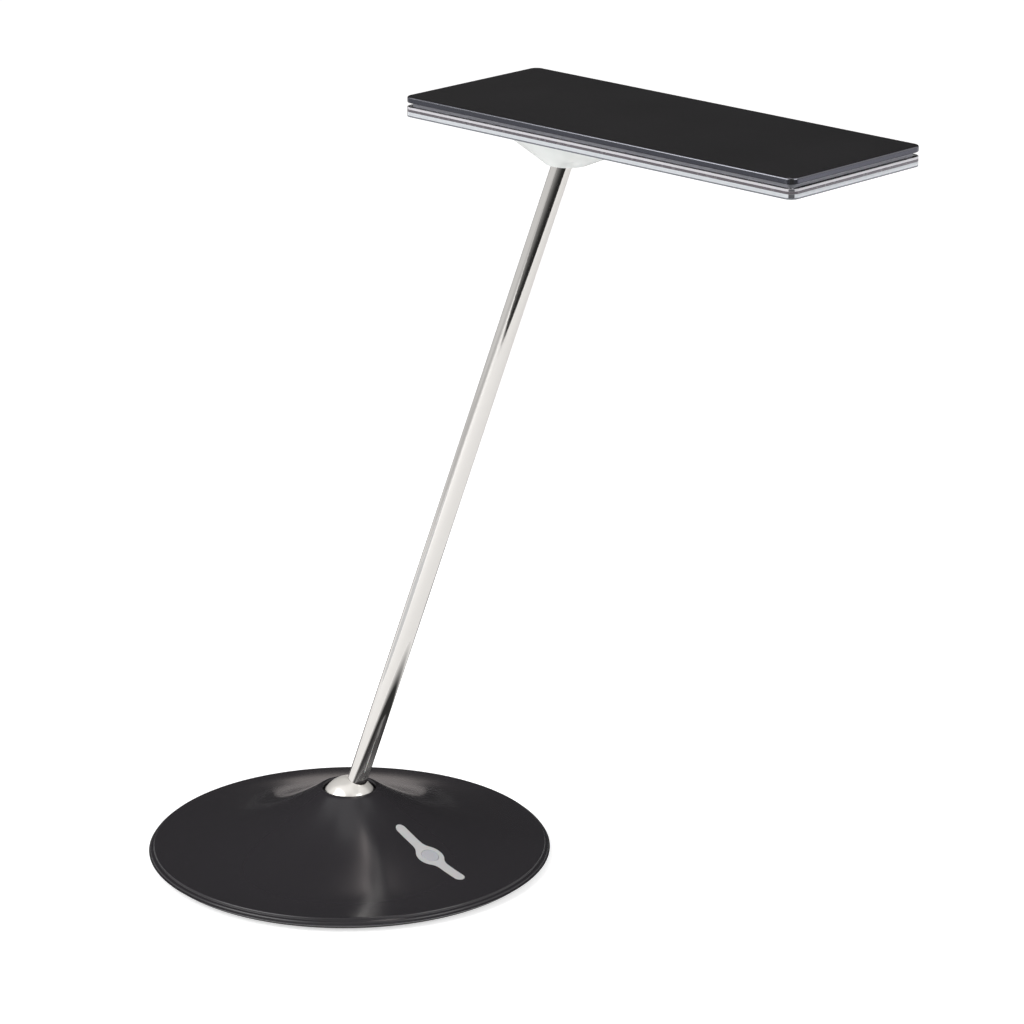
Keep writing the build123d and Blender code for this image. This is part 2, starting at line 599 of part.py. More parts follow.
# Swivel cup: turns about the upright axis and carries the ball's trunnion pins
with BuildPart() as swivel_cup:
    with BuildSketch(Plane.XZ):
        with Locations((0, CUP_FLOOR)):
            Rectangle(CUP_RADIUS, BALL_HEIGHT - CUP_FLOOR, align=(Align.MIN, Align.MIN))
        with Locations((0, SPIGOT_BOTTOM)):
            Rectangle(SPIGOT_RADIUS, CUP_FLOOR - SPIGOT_BOTTOM, align=(Align.MIN, Align.MIN))
        with Locations((0, BALL_HEIGHT)):
            Circle(CAVITY_RADIUS, mode=Mode.SUBTRACT)
        with Locations((0, SPIGOT_BOTTOM)):
            Rectangle(SPIGOT_BORE, BALL_HEIGHT, align=(Align.MIN, Align.MIN), mode=Mode.SUBTRACT)
    revolve(axis=Axis.Z)
    # stop tooth, opposite the block at rest
    with BuildSketch(section_of(base_frame.rotated((0, 0, STEM_AZIMUTH - STOP_TOOTH_ANGLE / 2)))):
        with Locations((CUP_RADIUS - CUT_PAST, CUP_FLOOR)):
            Rectangle(STOP_REACH + CUT_PAST, STOP_HEIGHT, align=(Align.MIN, Align.MIN))
    revolve(axis=Axis.Z, revolution_arc=STOP_TOOTH_ANGLE)
    with BuildSketch(pin_plane(lean_frame)):
        Circle(TRUNNION_RADIUS + RUNNING_FIT)
    extrude(amount=CUP_RADIUS + CUT_PAST, both=True, mode=Mode.SUBTRACT)
    with BuildSketch(lean_frame):
        with PolarLocations(CAP_SCREW_CIRCLE, 4, start_angle=45):
            Circle(CAP_SCREW_RADIUS)
    extrude(amount=-(CAP_SCREW_LENGTH - (CAP_TOP - BALL_HEIGHT)), mode=Mode.SUBTRACT)
save(swivel_cup, "swivel_cup")

# Cap ring that closes the trunnion bearings from above
with BuildPart() as cup_cap:
    with BuildSketch(Plane.XZ):
        with Locations((0, BALL_HEIGHT)):
            Rectangle(CUP_RADIUS, CAP_TOP - BALL_HEIGHT, align=(Align.MIN, Align.MIN))
            Circle(CAVITY_RADIUS, mode=Mode.SUBTRACT)
    revolve(axis=Axis.Z)
    with BuildSketch(pin_plane(lean_frame)):
        Circle(TRUNNION_RADIUS + RUNNING_FIT)
    extrude(amount=CUP_RADIUS + CUT_PAST, both=True, mode=Mode.SUBTRACT)
    for radius, depth in ((CAP_SCREW_RADIUS, CAP_TOP - BALL_HEIGHT), (CAP_SCREW_HEAD, CAP_SCREW_HEAD)):
        with BuildSketch(lean_frame.offset(CAP_TOP - BALL_HEIGHT)):
            with PolarLocations(CAP_SCREW_CIRCLE, 4, start_angle=45):
                Circle(radius)
        extrude(amount=-depth, mode=Mode.SUBTRACT)
save(cup_cap, "cup_cap")

with BuildPart() as cap_screws:
    for radius, depth in ((CAP_SCREW_RADIUS, CAP_SCREW_LENGTH), (CAP_SCREW_HEAD, CAP_SCREW_HEAD)):
        with BuildSketch(lean_frame.offset(CAP_TOP - BALL_HEIGHT)):
            with PolarLocations(CAP_SCREW_CIRCLE, 4, start_angle=45):
                Circle(radius)
        extrude(amount=-depth)
save(cap_screws, "cap_screws")

# Nut and spring washer that hold the cup down in its housing
with BuildPart() as spigot_nut:
    with BuildSketch(Plane.XY.offset(NUT_BOTTOM)):
        RegularPolygon(NUT_ACROSS / 2, 6, major_radius=False)
        Circle(SPIGOT_RADIUS, mode=Mode.SUBTRACT)
    extrude(amount=NUT_HEIGHT)
save(spigot_nut, "spigot_nut")

with BuildPart() as swivel_washer:
    with BuildSketch(Plane.XY.offset(NUT_BOTTOM + NUT_HEIGHT)):
        Circle(NUT_ACROSS / 2)
        Circle(SPIGOT_RADIUS, mode=Mode.SUBTRACT)
    extrude(amount=SWIVEL_WASHER)
save(swivel_washer, "swivel_washer")

# Chrome ball at the foot of the stem
with BuildPart() as base_ball:
    with BuildSketch(section_of(stem_frame)):
        Circle(BALL_RADIUS)
        Rectangle(BALL_RADIUS, 2 * BALL_RADIUS, align=(Align.MAX, Align.CENTER), mode=Mode.SUBTRACT)
    revolve(axis=axis_of(stem_frame))
    with BuildSketch(stem_frame.offset(-STEM_SEAT)):
        Circle(STEM_RADIUS)
    extrude(amount=2 * BALL_RADIUS, mode=Mode.SUBTRACT)
    with BuildSketch(stem_frame.offset(-STEM_SEAT)):
        Circle(BALL_LEAD_BORE)
    extrude(amount=-BALL_RADIUS, mode=Mode.SUBTRACT)
    with BuildSketch(pin_plane(stem_frame)):
        Circle(TRUNNION_RADIUS)
    extrude(amount=BALL_RADIUS, both=True, mode=Mode.SUBTRACT)
save(base_ball, "base_ball")

# Two short pins, one each side, that lock the tube in the ball and carry it
with BuildPart() as trunnion_pins:
    with BuildSketch(pin_plane(stem_frame).offset(STEM_BORE), pin_plane(stem_frame).offset(-TRUNNION_REACH)):
        Circle(TRUNNION_RADIUS)
    extrude(amount=TRUNNION_REACH - STEM_BORE)
save(trunnion_pins, "trunnion_pins")

with BuildPart() as stem_tube:
    with BuildSketch(stem_frame.offset(-STEM_SEAT)):
        Circle(STEM_RADIUS)
        Circle(STEM_BORE, mode=Mode.SUBTRACT)
    extrude(amount=STEM_SEAT + TUBE_END)
    with BuildSketch(pin_plane(stem_frame)):
        Circle(TRUNNION_RADIUS)
    extrude(amount=STEM_RADIUS, both=True, mode=Mode.SUBTRACT)
save(stem_tube, "stem_tube")

# Bush in the tube's end for the upper ball's spigot
with BuildPart() as stem_bush:
    with BuildSketch(stem_frame.offset(TUBE_END - BUSH_LENGTH)):
        Circle(STEM_BORE)
        Circle(TOP_SPIGOT_RADIUS + RUNNING_FIT, mode=Mode.SUBTRACT)
    extrude(amount=BUSH_LENGTH)
save(stem_bush, "stem_bush")

# Lead inside the stem, held by two grips
with BuildPart() as stem_lead:
    with BuildSketch(stem_frame.offset(LEAD_START)):
        Circle(STEM_LEAD_RADIUS)
    extrude(amount=LEAD_END - LEAD_START)
save(stem_lead, "stem_lead")

with BuildPart() as lead_grips:
    with BuildSketch(stem_frame.offset(LEAD_GRIP_LOW), stem_frame.offset(LEAD_GRIP_HIGH)):
        Circle(STEM_BORE)
        Circle(STEM_LEAD_RADIUS, mode=Mode.SUBTRACT)
    extrude(amount=LEAD_GRIP_LENGTH)
save(lead_grips, "lead_grips")

# Upper ball: its hollow spigot turns in the bush, and its pins carry the head cup
spigot_end = -STEM_END - BUSH_LENGTH - END_PLAY - CLIP_THICKNESS - SPIGOT_TAIL
clip_top = -STEM_END - BUSH_LENGTH - END_PLAY
with BuildPart() as top_ball:
    with BuildSketch(section_of(top_frame)):
        Circle(TOP_BALL_RADIUS)
        with Locations((0, -TOP_BALL_FLAT)):
            Rectangle(
                2 * TOP_BALL_RADIUS, TOP_BALL_RADIUS, align=(Align.CENTER, Align.MAX), mode=Mode.SUBTRACT
            )
        with Locations((0, spigot_end)):
            Rectangle(TOP_SPIGOT_RADIUS, -spigot_end, align=(Align.MIN, Align.MIN))
            Rectangle(TOP_LEAD_BORE, -2 * spigot_end, align=(Align.MIN, Align.MIN), mode=Mode.SUBTRACT)
        Rectangle(TOP_BALL_RADIUS, 3 * TOP_BALL_RADIUS, align=(Align.MAX, Align.CENTER), mode=Mode.SUBTRACT)
        with Locations((TOP_SPIGOT_RADIUS, clip_top)):
            Rectangle(CLIP_GROOVE, CLIP_THICKNESS, align=(Align.MAX, Align.MAX), mode=Mode.SUBTRACT)
    revolve(axis=axis_of(top_frame))
    with BuildSketch(pin_plane(top_frame)):
        Circle(CROSS_PIN_RADIUS)
    extrude(amount=TOP_BALL_RADIUS, both=True, mode=Mode.SUBTRACT)
save(top_ball, "top_ball")

with BuildPart() as ball_clip:
    with BuildSketch(top_frame.offset(clip_top)):
        Circle(CLIP_OUTER)
        Circle(TOP_SPIGOT_RADIUS - CLIP_GROOVE, mode=Mode.SUBTRACT)
    extrude(amount=-CLIP_THICKNESS)
save(ball_clip, "ball_clip")

with BuildPart() as cross_pins:
    with BuildSketch(
        pin_plane(top_frame).offset(CROSS_PIN_INNER), pin_plane(top_frame).offset(-CROSS_PIN_REACH)
    ):
        Circle(CROSS_PIN_RADIUS)
    extrude(amount=CROSS_PIN_REACH - CROSS_PIN_INNER)
save(cross_pins, "cross_pins")

# Head cup: tilts on the cross pins, and its spindle is the head's upright pivot
with BuildPart() as head_cup:
    with BuildSketch(section_of(cup_frame)):
        with Locations((0, HEAD_CUP_BOTTOM)):
            Rectangle(HEAD_CUP_RADIUS, HEAD_CUP_TOP - HEAD_CUP_BOTTOM, align=(Align.MIN, Align.MIN))
        with Locations((0, 0)):
            Rectangle(SPINDLE_RADIUS, SPINDLE_TOP, align=(Align.MIN, Align.MIN))
        Circle(TOP_BALL_RADIUS + BALL_GAP, mode=Mode.SUBTRACT)
        with Locations((0, HEAD_CUP_BOTTOM)):
            Rectangle(
                TOP_BALL_RADIUS + BALL_GAP, -HEAD_CUP_BOTTOM, align=(Align.MIN, Align.MIN), mode=Mode.SUBTRACT
            )
            Rectangle(
                SPINDLE_BORE, 2 * SPINDLE_TOP, align=(Align.MIN, Align.MIN), mode=Mode.SUBTRACT
            )
    revolve(axis=axis_of(cup_frame))
    with BuildSketch(pin_plane(cup_frame)):
        Circle(CROSS_PIN_RADIUS + RUNNING_FIT)
    extrude(amount=HEAD_CUP_RADIUS + CUT_PAST, both=True, mode=Mode.SUBTRACT)
    # slot between the ears, so that the stem can lean either way
    with BuildSketch(cup_frame.offset(HEAD_CUP_BOTTOM)):
        Rectangle(3 * HEAD_CUP_RADIUS, 2 * (STEM_RADIUS + CUP_SLOT_GAP))
    extrude(amount=CUP_SLOT_TOP - HEAD_CUP_BOTTOM, mode=Mode.SUBTRACT)
save(head_cup, "head_cup")

with BuildPart() as spindle_washer:
    with BuildSketch(cup_frame.offset(BOSS_TOP)):
        Circle(SPINDLE_NUT_RADIUS)
        Circle(SPINDLE_RADIUS, mode=Mode.SUBTRACT)
    extrude(amount=SPINDLE_WASHER)
save(spindle_washer, "spindle_washer")

with BuildPart() as spindle_nut:
    with BuildSketch(cup_frame.offset(BOSS_TOP + SPINDLE_WASHER)):
        RegularPolygon(SPINDLE_NUT_RADIUS, 6)
        Circle(SPINDLE_RADIUS, mode=Mode.SUBTRACT)
    extrude(amount=SPINDLE_TOP - BOSS_TOP - SPINDLE_WASHER)
save(spindle_nut, "spindle_nut")

# Bearing boss that hangs through the clear plate and holds the spindle
with BuildPart() as head_boss:
    with BuildSketch(section_of(head_frame)):
        with BuildLine():
            Polyline(
                (SPINDLE_RADIUS + RUNNING_FIT, BOSS_BOTTOM),
                (BOSS_RADIUS, BOSS_BOTTOM),
                (BOSS_RADIUS, PLATE_TOP),
                (BOSS_FLANGE_RADIUS, PLATE_TOP),
                (BOSS_FLANGE_RADIUS, BOSS_TOP - END_PLAY),
                (SPINDLE_RADIUS + RUNNING_FIT, BOSS_TOP - END_PLAY),
                close=True,
            )
        make_face()
    revolve(axis=axis_of(head_frame))
save(head_boss, "head_boss")


def head_slab(height, inset=0.0):
    """The head's rounded rectangle at a height over the upper ball's centre."""
    with BuildSketch(head_frame.offset(height)) as slab:
        with Locations((HEAD_MIDDLE, 0)):
            RectangleRounded(HEAD_LENGTH - 2 * inset, HEAD_WIDTH - 2 * inset, HEAD_CORNER - inset / 2)
    return slab.sketch


# Clear funnel: round at the joint, oval where it meets the plate
with BuildPart() as clear_funnel:
    with BuildSketch(head_frame.offset(FUNNEL_BOTTOM)):
        Circle(FUNNEL_MOUTH)
    with BuildSketch(head_frame.offset(PLATE_BOTTOM)):
        Ellipse(FUNNEL_LONG, FUNNEL_SHORT)
    loft()
    mouth_edge = clear_funnel.edges().group_by(axis_of(head_frame))[0]
    fillet(mouth_edge, FUNNEL_MOUTH_ROUND)
    with BuildSketch(section_of(head_frame)):
        with BuildLine():
            Polyline(
                (0, FUNNEL_BOTTOM),
                (FUNNEL_BORE_MOUTH, FUNNEL_BOTTOM),
                (FUNNEL_BORE_HIGH, FUNNEL_BORE_TOP),
                (BOSS_RADIUS + SEAT_GAP, FUNNEL_BORE_TOP),
                (BOSS_RADIUS + SEAT_GAP, PLATE_BOTTOM),
                (0, PLATE_BOTTOM),
                close=True,
            )
        make_face()
    revolve(axis=axis_of(head_frame), mode=Mode.SUBTRACT)
save(clear_funnel, "clear_funnel")

screw_x = HEAD_LENGTH / 2 - PLATE_SCREW_INSET
screw_y = HEAD_WIDTH / 2 - PLATE_SCREW_INSET
screw_places = [(HEAD_MIDDLE + sx * screw_x, sy * screw_y) for sx in (-1, 1) for sy in (-1, 1)]

# Clear plate that the light shines through
with BuildPart() as clear_plate:
    add(head_slab(PLATE_BOTTOM))
    extrude(amount=PLATE_THICKNESS)
    rims = clear_plate.faces().filter_by(Axis.Z).edges()
    chamfer(rims, PLATE_EDGE)
    with BuildSketch(head_frame.offset(PLATE_BOTTOM)):
        Circle(BOSS_RADIUS + SEAT_GAP)
        with Locations(*screw_places):
            Circle(PLATE_SCREW_RADIUS)
    extrude(amount=PLATE_THICKNESS, mode=Mode.SUBTRACT)
    with BuildSketch(head_frame.offset(PLATE_BOTTOM)):
        with Locations(*screw_places):
            Circle(PLATE_SCREW_HEAD)
    extrude(amount=PLATE_SCREW_HEAD_HEIGHT, mode=Mode.SUBTRACT)
save(clear_plate, "clear_plate")

# Neck frame between the plate and the top cover: it makes the shadow gap
with BuildPart() as neck_frame:
    add(head_slab(PLATE_TOP, NECK_INSET))
    extrude(amount=NECK_HEIGHT)
    with BuildSketch(head_frame.offset(PLATE_TOP)):
        with Locations((HEAD_MIDDLE, 0)):
            Rectangle(WINDOW_LENGTH, WINDOW_WIDTH)
        with Locations(*screw_places):
            Circle(PLATE_SCREW_RADIUS)
    extrude(amount=NECK_HEIGHT, mode=Mode.SUBTRACT)
save(neck_frame, "neck_frame")

with BuildPart() as led_board:
    with BuildSketch(head_frame.offset(LED_BOARD_BOTTOM)):
        with Locations((HEAD_MIDDLE, 0)):
            Rectangle(WINDOW_LENGTH - 2 * SEAT_GAP, WINDOW_WIDTH - 2 * SEAT_GAP)
        Circle(BOSS_FLANGE_RADIUS + SEAT_GAP, mode=Mode.SUBTRACT)
    extrude(amount=LED_BOARD_THICKNESS)
save(led_board, "led_board")

# Leds on a grid, with the ball's axis midway between the four nearest
window_end = HEAD_LENGTH - HEAD_BACK - NECK_INSET - NECK_WALL
window_start = HEAD_BACK - NECK_INSET - NECK_WALL
led_columns = led_line(window_end, LED_PITCH_X, LED_LENGTH)
led_columns += [-place for place in led_line(window_start, LED_PITCH_X, LED_LENGTH)]
led_rows = led_line(WINDOW_WIDTH / 2, LED_PITCH_Y, LED_WIDTH)
led_rows += [-place for place in led_rows]
led_places = [(column, row) for column in led_columns for row in led_rows]
with BuildPart() as leds:
    with BuildSketch(head_frame.offset(LED_BOTTOM)):
        with Locations(*led_places):
            Rectangle(LED_LENGTH, LED_WIDTH)
    extrude(amount=LED_HEIGHT)
save(leds, "leds")

with BuildPart() as reflector_sheet:
    with BuildSketch(head_frame.offset(LED_BOARD_BOTTOM - REFLECTOR_THICKNESS)):
        with Locations((HEAD_MIDDLE, 0)):
            Rectangle(WINDOW_LENGTH - 4 * SEAT_GAP, WINDOW_WIDTH - 4 * SEAT_GAP)
        with Locations(*led_places):
            Rectangle(LED_LENGTH + REFLECTOR_WINDOW, LED_WIDTH + REFLECTOR_WINDOW, mode=Mode.SUBTRACT)
        Circle(BOSS_FLANGE_RADIUS + SEAT_GAP, mode=Mode.SUBTRACT)
    extrude(amount=REFLECTOR_THICKNESS)
save(reflector_sheet, "reflector_sheet")

# Black top cover with softened edges
with BuildPart() as top_cover:
    add(head_slab(NECK_TOP))
    extrude(amount=COVER_THICKNESS)
    fillet(top_cover.faces().sort_by(Axis.Z)[-1].edges(), COVER_ROUND)
    chamfer(top_cover.faces().sort_by(Axis.Z)[0].edges(), PLATE_EDGE)
    with BuildSketch(head_frame.offset(NECK_TOP)):
        Circle(NUT_RECESS_RADIUS)
    extrude(amount=NUT_RECESS_TOP - NECK_TOP, mode=Mode.SUBTRACT)
    with BuildSketch(head_frame.offset(NECK_TOP)):
        with Locations(*screw_places):
            Circle(PLATE_SCREW_RADIUS)
    extrude(amount=PLATE_SCREW_TIP, mode=Mode.SUBTRACT)
save(top_cover, "top_cover")

with BuildPart() as plate_screws:
    screw_length = NECK_TOP + PLATE_SCREW_TIP - PLATE_BOTTOM
    for radius, length in ((PLATE_SCREW_HEAD, PLATE_SCREW_HEAD_HEIGHT), (PLATE_SCREW_RADIUS, screw_length)):
        with BuildSketch(head_frame.offset(PLATE_BOTTOM)):
            with Locations(*screw_places):
                Circle(radius)
        extrude(amount=length)
    with BuildSketch(head_frame.offset(PLATE_BOTTOM)):
        with Locations(*screw_places):
            RegularPolygon(PLATE_SCREW_RADIUS, 6)
    extrude(amount=PLATE_SCREW_HEAD_HEIGHT / 2, mode=Mode.SUBTRACT)
save(plate_screws, "plate_screws")

# Touch bar let into the cover, flush with the slope
with BuildPart() as touch_bar:
    add(bar_outline())
    extrude(amount=FLARE_HEIGHT)
    with BuildSketch(Plane.XZ):
        with BuildLine():
            inner_end = BAR_CENTRE - BAR_HALF_LENGTH - BAR_WIDTH
            outer_end = BAR_CENTRE + BAR_HALF_LENGTH + BAR_WIDTH
            flare_curve(inner_end, outer_end, -BAR_PROUD)
            flare_curve(inner_end, outer_end, COVER_WALL)
            Line(
                (inner_end, surface_height(inner_end) + BAR_PROUD),
                (inner_end, surface_height(inner_end) - COVER_WALL),
            )
            Line(
                (outer_end, surface_height(outer_end) + BAR_PROUD),
                (outer_end, surface_height(outer_end) - COVER_WALL),
            )
        make_face()
    revolve(axis=Axis.Z, mode=Mode.INTERSECT)
    with BuildSketch(button_frame):
        Circle(BUTTON_RADIUS + BUTTON_GAP)
    extrude(amount=FLARE_HEIGHT, both=True, mode=Mode.SUBTRACT)
save(touch_bar, "touch_bar")

# Dimmer button in the middle of the bar
with BuildPart() as dimmer_button:
    with BuildSketch(button_frame.offset(flange_top)):
        Circle(BUTTON_RADIUS)
    extrude(amount=BUTTON_PROUD - flange_top)
    fillet(dimmer_button.edges().group_by(Axis(button_frame.origin, button_frame.z_dir))[-1], BUTTON_PROUD)
    with BuildSketch(button_frame.offset(flange_bottom)):
        Circle(BUTTON_FLANGE)
    extrude(amount=BUTTON_FLANGE_HEIGHT)
    with BuildSketch(button_frame.offset(plunger_tip)):
        Circle(PLUNGER_RADIUS)
    extrude(amount=PLUNGER_LENGTH)
save(dimmer_button, "dimmer_button")

with BuildPart() as tact_switch:
    with BuildSketch(button_frame.offset(board_top)):
        RectangleRounded(SWITCH_SIZE, SWITCH_SIZE, BOARD_SCREW_RADIUS)
    extrude(amount=SWITCH_HEIGHT)
save(tact_switch, "tact_switch")

with BuildPart() as bar_leds:
    with BuildSketch(button_frame.offset(board_top)):
        with Locations((BAR_LED_X, 0), (-BAR_LED_X, 0)):
            Rectangle(LED_LENGTH, LED_WIDTH)
    extrude(amount=LED_HEIGHT)
save(bar_leds, "bar_leds")

with BuildPart() as control_board:
    with BuildSketch(button_frame.offset(board_bottom)):
        Rectangle(BOARD_LENGTH, BOARD_WIDTH)
        with Locations((BOARD_SCREW_X, BOARD_SCREW_Y), (-BOARD_SCREW_X, -BOARD_SCREW_Y)):
            Circle(BOARD_SCREW_RADIUS, mode=Mode.SUBTRACT)
    extrude(amount=BOARD_THICKNESS)
save(control_board, "control_board")

with BuildPart() as board_screws:
    with BuildSketch(button_frame.offset(board_bottom)):
        with Locations((BOARD_SCREW_X, BOARD_SCREW_Y), (-BOARD_SCREW_X, -BOARD_SCREW_Y)):
            Circle(2 * BOARD_SCREW_RADIUS)
    extrude(amount=-BOARD_SCREW_RADIUS)
    with BuildSketch(button_frame.offset(board_bottom)):
        with Locations((BOARD_SCREW_X, BOARD_SCREW_Y), (-BOARD_SCREW_X, -BOARD_SCREW_Y)):
            Circle(BOARD_SCREW_RADIUS)
    extrude(amount=BOARD_THICKNESS - board_top - wall_below_button - SEAT_GAP)
save(board_screws, "board_screws")

# Low-voltage socket at the inner end of the plug's tunnel
inlet_plane = Plane(origin=(-INLET_FACE, 0, INLET_AXIS), x_dir=(0, -1, 0), z_dir=(-1, 0, 0))
with BuildPart() as inlet_socket:
    with BuildSketch(Plane.XY.offset(INLET_BOTTOM)):
        with Locations((-INLET_FACE, 0)):
            Rectangle(INLET_LENGTH, INLET_WIDTH, align=(Align.MIN, Align.CENTER))
    extrude(amount=INLET_TOP - INLET_BOTTOM)
    with BuildSketch(inlet_plane):
        Circle(INLET_BORE)
    extrude(amount=-INLET_BORE_DEPTH, mode=Mode.SUBTRACT)
save(inlet_socket, "inlet_socket")

with BuildPart() as inlet_pin:
    with BuildSketch(inlet_plane.offset(-INLET_BORE_DEPTH)):
        Circle(INLET_PIN_RADIUS)
    extrude(amount=INLET_BORE_DEPTH - END_PLAY)
save(inlet_pin, "inlet_pin")

with BuildPart() as inlet_board:
    with BuildSketch(Plane.XY.offset(INLET_TOP)):
        with Locations((-INLET_FACE, 0)):
            Rectangle(INLET_BOARD_LENGTH, INLET_BOARD_WIDTH, align=(Align.MIN, Align.CENTER))
        with Locations((post_x, INLET_POST_Y), (post_x, -INLET_POST_Y)):
            Circle(BOARD_SCREW_RADIUS, mode=Mode.SUBTRACT)
    extrude(amount=BOARD_THICKNESS)
save(inlet_board, "inlet_board")

with BuildPart() as inlet_screws:
    with BuildSketch(Plane.XY.offset(INLET_TOP + BOARD_THICKNESS)):
        with Locations((post_x, INLET_POST_Y), (post_x, -INLET_POST_Y)):
            Circle(2 * BOARD_SCREW_RADIUS)
    extrude(amount=BOARD_SCREW_RADIUS)
    with BuildSketch(Plane.XY.offset(PAN_TOP)):
        with Locations((post_x, INLET_POST_Y), (post_x, -INLET_POST_Y)):
            Circle(BOARD_SCREW_RADIUS)
    extrude(amount=INLET_TOP + BOARD_THICKNESS - PAN_TOP)
save(inlet_screws, "inlet_screws")

# Power lead from the inlet's board, round the housing, to the control board
lead_start_x = -(INLET_FACE - INLET_BOARD_LENGTH + LEAD_START_LAP)
board_edge = button_frame.from_local_coords(Vector(-BOARD_LENGTH / 2 + LEAD_END_INSET, 0, board_bottom))
with BuildPart() as power_lead:
    with BuildLine() as lead_route:
        FilletPolyline(
            (lead_start_x, 0, LEAD_LEVEL),
            (-LEAD_LOOP, 0, LEAD_LEVEL),
            (-LEAD_LOOP, LEAD_LOOP, LEAD_LEVEL),
            (LEAD_LOOP, LEAD_LOOP, LEAD_LEVEL),
            (LEAD_LOOP, 0, LEAD_LEVEL),
            (board_edge.X, 0, LEAD_LEVEL),
            (board_edge.X, 0, board_edge.Z - POWER_LEAD_RADIUS),
            radius=[LEAD_BEND, LEAD_TURN, LEAD_TURN, LEAD_BEND, LEAD_END_BEND],
        )
    with BuildSketch(Plane(origin=lead_route.line @ 0, z_dir=lead_route.line % 0)):
        Circle(POWER_LEAD_RADIUS)
    sweep()
save(power_lead, "power_lead")
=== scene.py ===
# %% [markdown]
# # A table lamp that leans on two ball joints
# The lamp's solids come from the CAD pack, in metres, with +Z up and the origin under
# the middle of the base. Blender adds what CAD has no word for: paint, chrome, clear
# plastic, light, and the small forms that a moulder or a polisher leaves behind.
# Loading comes first, so that everything after it can be placed from real solids.

# %% Load the lamp's solids
import json
import math

import bmesh
import bpy
from mathutils import Matrix, Vector


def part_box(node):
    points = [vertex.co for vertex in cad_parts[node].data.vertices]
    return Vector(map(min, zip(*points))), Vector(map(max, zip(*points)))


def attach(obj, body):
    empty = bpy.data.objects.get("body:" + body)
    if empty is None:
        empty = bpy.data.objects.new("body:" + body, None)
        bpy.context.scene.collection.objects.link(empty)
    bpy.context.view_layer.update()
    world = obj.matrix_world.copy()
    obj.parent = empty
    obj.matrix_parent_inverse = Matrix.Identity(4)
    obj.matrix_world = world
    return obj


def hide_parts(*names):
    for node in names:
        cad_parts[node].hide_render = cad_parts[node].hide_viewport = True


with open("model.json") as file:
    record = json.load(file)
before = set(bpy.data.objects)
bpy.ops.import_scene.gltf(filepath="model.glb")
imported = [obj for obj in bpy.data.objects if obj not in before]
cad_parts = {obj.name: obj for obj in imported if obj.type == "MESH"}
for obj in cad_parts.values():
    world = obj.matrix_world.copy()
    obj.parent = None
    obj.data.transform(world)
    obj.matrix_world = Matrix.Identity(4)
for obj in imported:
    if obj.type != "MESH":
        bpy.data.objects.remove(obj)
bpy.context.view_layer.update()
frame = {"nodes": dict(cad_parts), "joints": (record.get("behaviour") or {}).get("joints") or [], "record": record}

cad = frame["nodes"]

# %% [markdown]
# ## Where things are
# The ball joints' centres come from the record's joints, and the plate's, the lights' and
# the ball's sizes from the solids' own boxes, so these follow the CAD if it moves. The
# painted shell's curve, the black ring's radii and the room round the screws are written out.

# %% Read the places that the finishes and pieces need
MM = 0.001
joints = {joint["name"]: joint for joint in frame["joints"]}
base_ball_centre = Vector(joints["stem_lean"]["pos_m"])
upper_ball_centre = Vector(joints["head_tilt"]["pos_m"])
stem_line = (upper_ball_centre - base_ball_centre).normalized()
print("stem runs along", [round(n, 4) for n in stem_line])

# %% [markdown]
# ## The studio's own directions
# The photograph looks at the lamp from one side, so lights and cards are easiest to
# place by that view: so far to its right, so far away from it, so high. One turn about
# the upright axis takes such a place into the lamp's frame.

# %% A helper that places things as the photographer would
VIEW_TURN = math.radians(43.3)


def seen(right, away, up):
    """A point given as the photographer sees it, in the lamp's frame."""
    return Matrix.Rotation(VIEW_TURN, 3, "Z") @ Vector((right, away, up))


# %% [markdown]
# ## The camera
# A long lens far away keeps the head's two long edges almost parallel, as they are in
# the photograph. Its place, its tilt and its small roll were fitted to the outlines of
# the base, the stem and the head together.

# %% Camera
CAMERA_PLACE = seen(0.09238, -2.19252, 0.92946)
CAMERA_PITCH = math.radians(18.27)
CAMERA_ROLL = math.radians(0.23)
SENSOR = 36.0
FOCAL_PIXELS = 4129.21
PHOTO_SIDE = 1024

camera_data = bpy.data.cameras.new("photographer")
camera_data.sensor_width = SENSOR
camera_data.lens = FOCAL_PIXELS / PHOTO_SIDE * SENSOR
camera_data.clip_start = 0.05
camera_data.clip_end = 50
camera = bpy.data.objects.new("photographer", camera_data)
bpy.context.collection.objects.link(camera)
camera.rotation_mode = "QUATERNION"
aim = Matrix.Rotation(VIEW_TURN, 3, "Z") @ Matrix.Rotation(math.pi / 2 - CAMERA_PITCH, 3, "X")
camera.rotation_quaternion = (aim @ Matrix.Rotation(CAMERA_ROLL, 3, "Z")).to_quaternion()
camera.location = CAMERA_PLACE
bpy.context.scene.camera = camera
print("lens", round(camera_data.lens, 1), "mm at", [round(n, 3) for n in camera.location])

# %% [markdown]
# ## Helpers for the finishes
# Every finish is a Principled shader with its plain values set on its own sockets, and
# a few nodes that break the evenness up: fine noise for grain, broad noise for handling
# and dust, and a mask along sharp edges where paint or plastic wears first. The noise
# reads object coordinates in metres, so a grain of 0.4 mm is 0.4 mm on every piece.

# %% Finish helpers
def new_finish(name, **values):
    """A material whose shader has these values; spaces in socket names are underscores."""
    made = bpy.data.materials.new(name)
    made.use_nodes = True
    shader = made.node_tree.nodes["Principled BSDF"]
    for socket, value in values.items():
        shader.inputs[socket.replace("_", " ")].default_value = value
    return made


def add(material, kind, **settings):
    """A node in a material or in the world, with its properties set."""
    node = material.node_tree.nodes.new(kind)
    for name, value in settings.items():
        setattr(node, name, value)
    return node


def join(material, source, target):
    material.node_tree.links.new(source, target)


def shader_of(material):
    return material.node_tree.nodes["Principled BSDF"]


